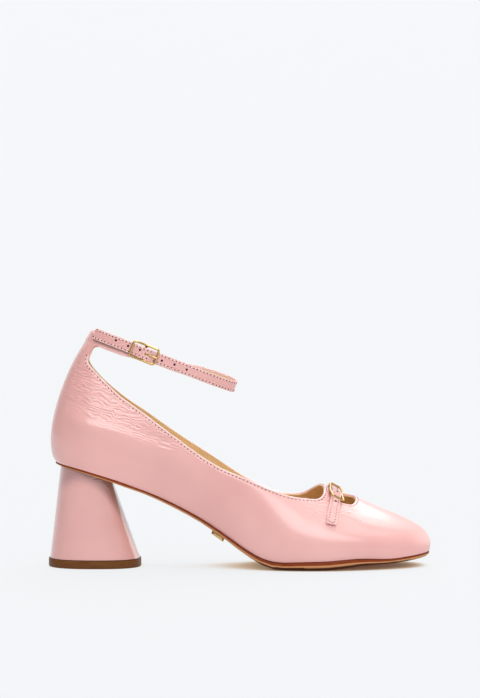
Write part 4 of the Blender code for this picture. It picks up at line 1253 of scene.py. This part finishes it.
floor_paper.node_tree.links.new(glow.outputs["Color"], floor_shader.inputs["Emission Color"])
floor_shader.inputs["Emission Strength"].default_value = FLOOR_GLOW
floor_shader.inputs["Specular IOR Level"].default_value = 0.1
floor.data.materials.append(floor_paper)

world = bpy.data.worlds.new("studio")
world.use_nodes = True
bpy.context.scene.world = world
SKY_LOW = 0.34
SKY_HIGH = 0.5
SKY_RISE = (0.1, 0.8)
SKY_TINT = (0.975, 0.985, 1.0, 1.0)
# Soft boxes, each with the way towards it, how it narrows along x, its half angle,
# the share of that angle that is full bright, and its strength
SOFT_BOXES = (
    ((0.05, 0.1, 1.0), 0.8, 18.0, 0.55, 4.6),
    ((0.0, -0.84, 0.54), 0.35, 15.0, 0.25, 4.1),
    ((0.06, 0.72, 0.68), 0.9, 22.0, 0.55, 2.3),
    ((0.35, 0.42, 0.84), 1.0, 18.0, 0.55, 2.0),
    ((0.9, 0.42, 0.2), 1.0, 34.0, 0.55, 1.5),
    ((0.1, 1.0, 0.08), 0.3, 24.0, 0.55, 0.55),
    ((-0.95, 0.1, 0.1), 1.0, 45.0, 0.55, -0.12),
)
ray = add(world, "ShaderNodeTexCoord").outputs["Generated"]
rise = add(world, "ShaderNodeSeparateXYZ", {"Vector": ray})
light = add(world, "ShaderNodeMapRange",
            {"Value": rise.outputs["Z"], "From Min": SKY_RISE[0], "From Max": SKY_RISE[1],
             "To Min": SKY_LOW, "To Max": SKY_HIGH},
            interpolation_type="SMOOTHSTEP").outputs[0]
for way, spread, angle, core, strength in SOFT_BOXES:
    narrowed = add(world, "ShaderNodeVectorMath", {0: ray, 1: (spread, 1.0, 1.0)}, operation="MULTIPLY")
    unit = add(world, "ShaderNodeVectorMath", {0: narrowed.outputs[0]}, operation="NORMALIZE")
    aim = Vector((way[0] * spread, way[1], way[2])).normalized()
    facing = add(world, "ShaderNodeVectorMath", {0: unit.outputs[0], 1: aim}, operation="DOT_PRODUCT")
    glow = add(world, "ShaderNodeMapRange",
               {"Value": facing.outputs["Value"], "From Min": math.cos(math.radians(angle)),
                "From Max": math.cos(math.radians(core * angle)), "To Max": strength},
               interpolation_type="SMOOTHSTEP")
    light = add(world, "ShaderNodeMath", {0: light, 1: glow.outputs[0]}, operation="ADD").outputs[0]
backdrop = world.node_tree.nodes["Background"]
backdrop.inputs["Color"].default_value = SKY_TINT
world.node_tree.links.new(light, backdrop.inputs["Strength"])

SUN_PLACE = Vector((0.7, -0.9, 2.0))
SUN_AIM = Vector((0.0, 0.0, 0.05))
SUN_STRENGTH = 0.55
SUN_SPREAD = math.radians(40)
sun_data = bpy.data.lights.new("overhead_sun", "SUN")
sun_data.energy = SUN_STRENGTH
sun_data.angle = SUN_SPREAD
sun = placed("overhead_sun", sun_data)
sun.location = SUN_PLACE
sun.rotation_euler = (SUN_AIM - SUN_PLACE).to_track_quat("-Z", "Y").to_euler()

LOOK = shoe(116.9, 0.0, 134.0)
DISTANCE = 4.0
RISE = math.radians(4.3)
SENSOR = 36.0
LENS = 334.4
FARTHEST = 100.0
camera_data = bpy.data.cameras.new("photo_camera")
camera_data.sensor_width = SENSOR
camera_data.lens = LENS
camera_data.clip_end = FARTHEST
camera = placed("photo_camera", camera_data)
camera.location = LOOK + Vector((0.0, -math.cos(RISE), math.sin(RISE))) * DISTANCE
camera.rotation_euler = (math.radians(90) - RISE, 0.0, 0.0)
bpy.context.scene.camera = camera
bpy.context.scene.view_settings.view_transform = "Standard"
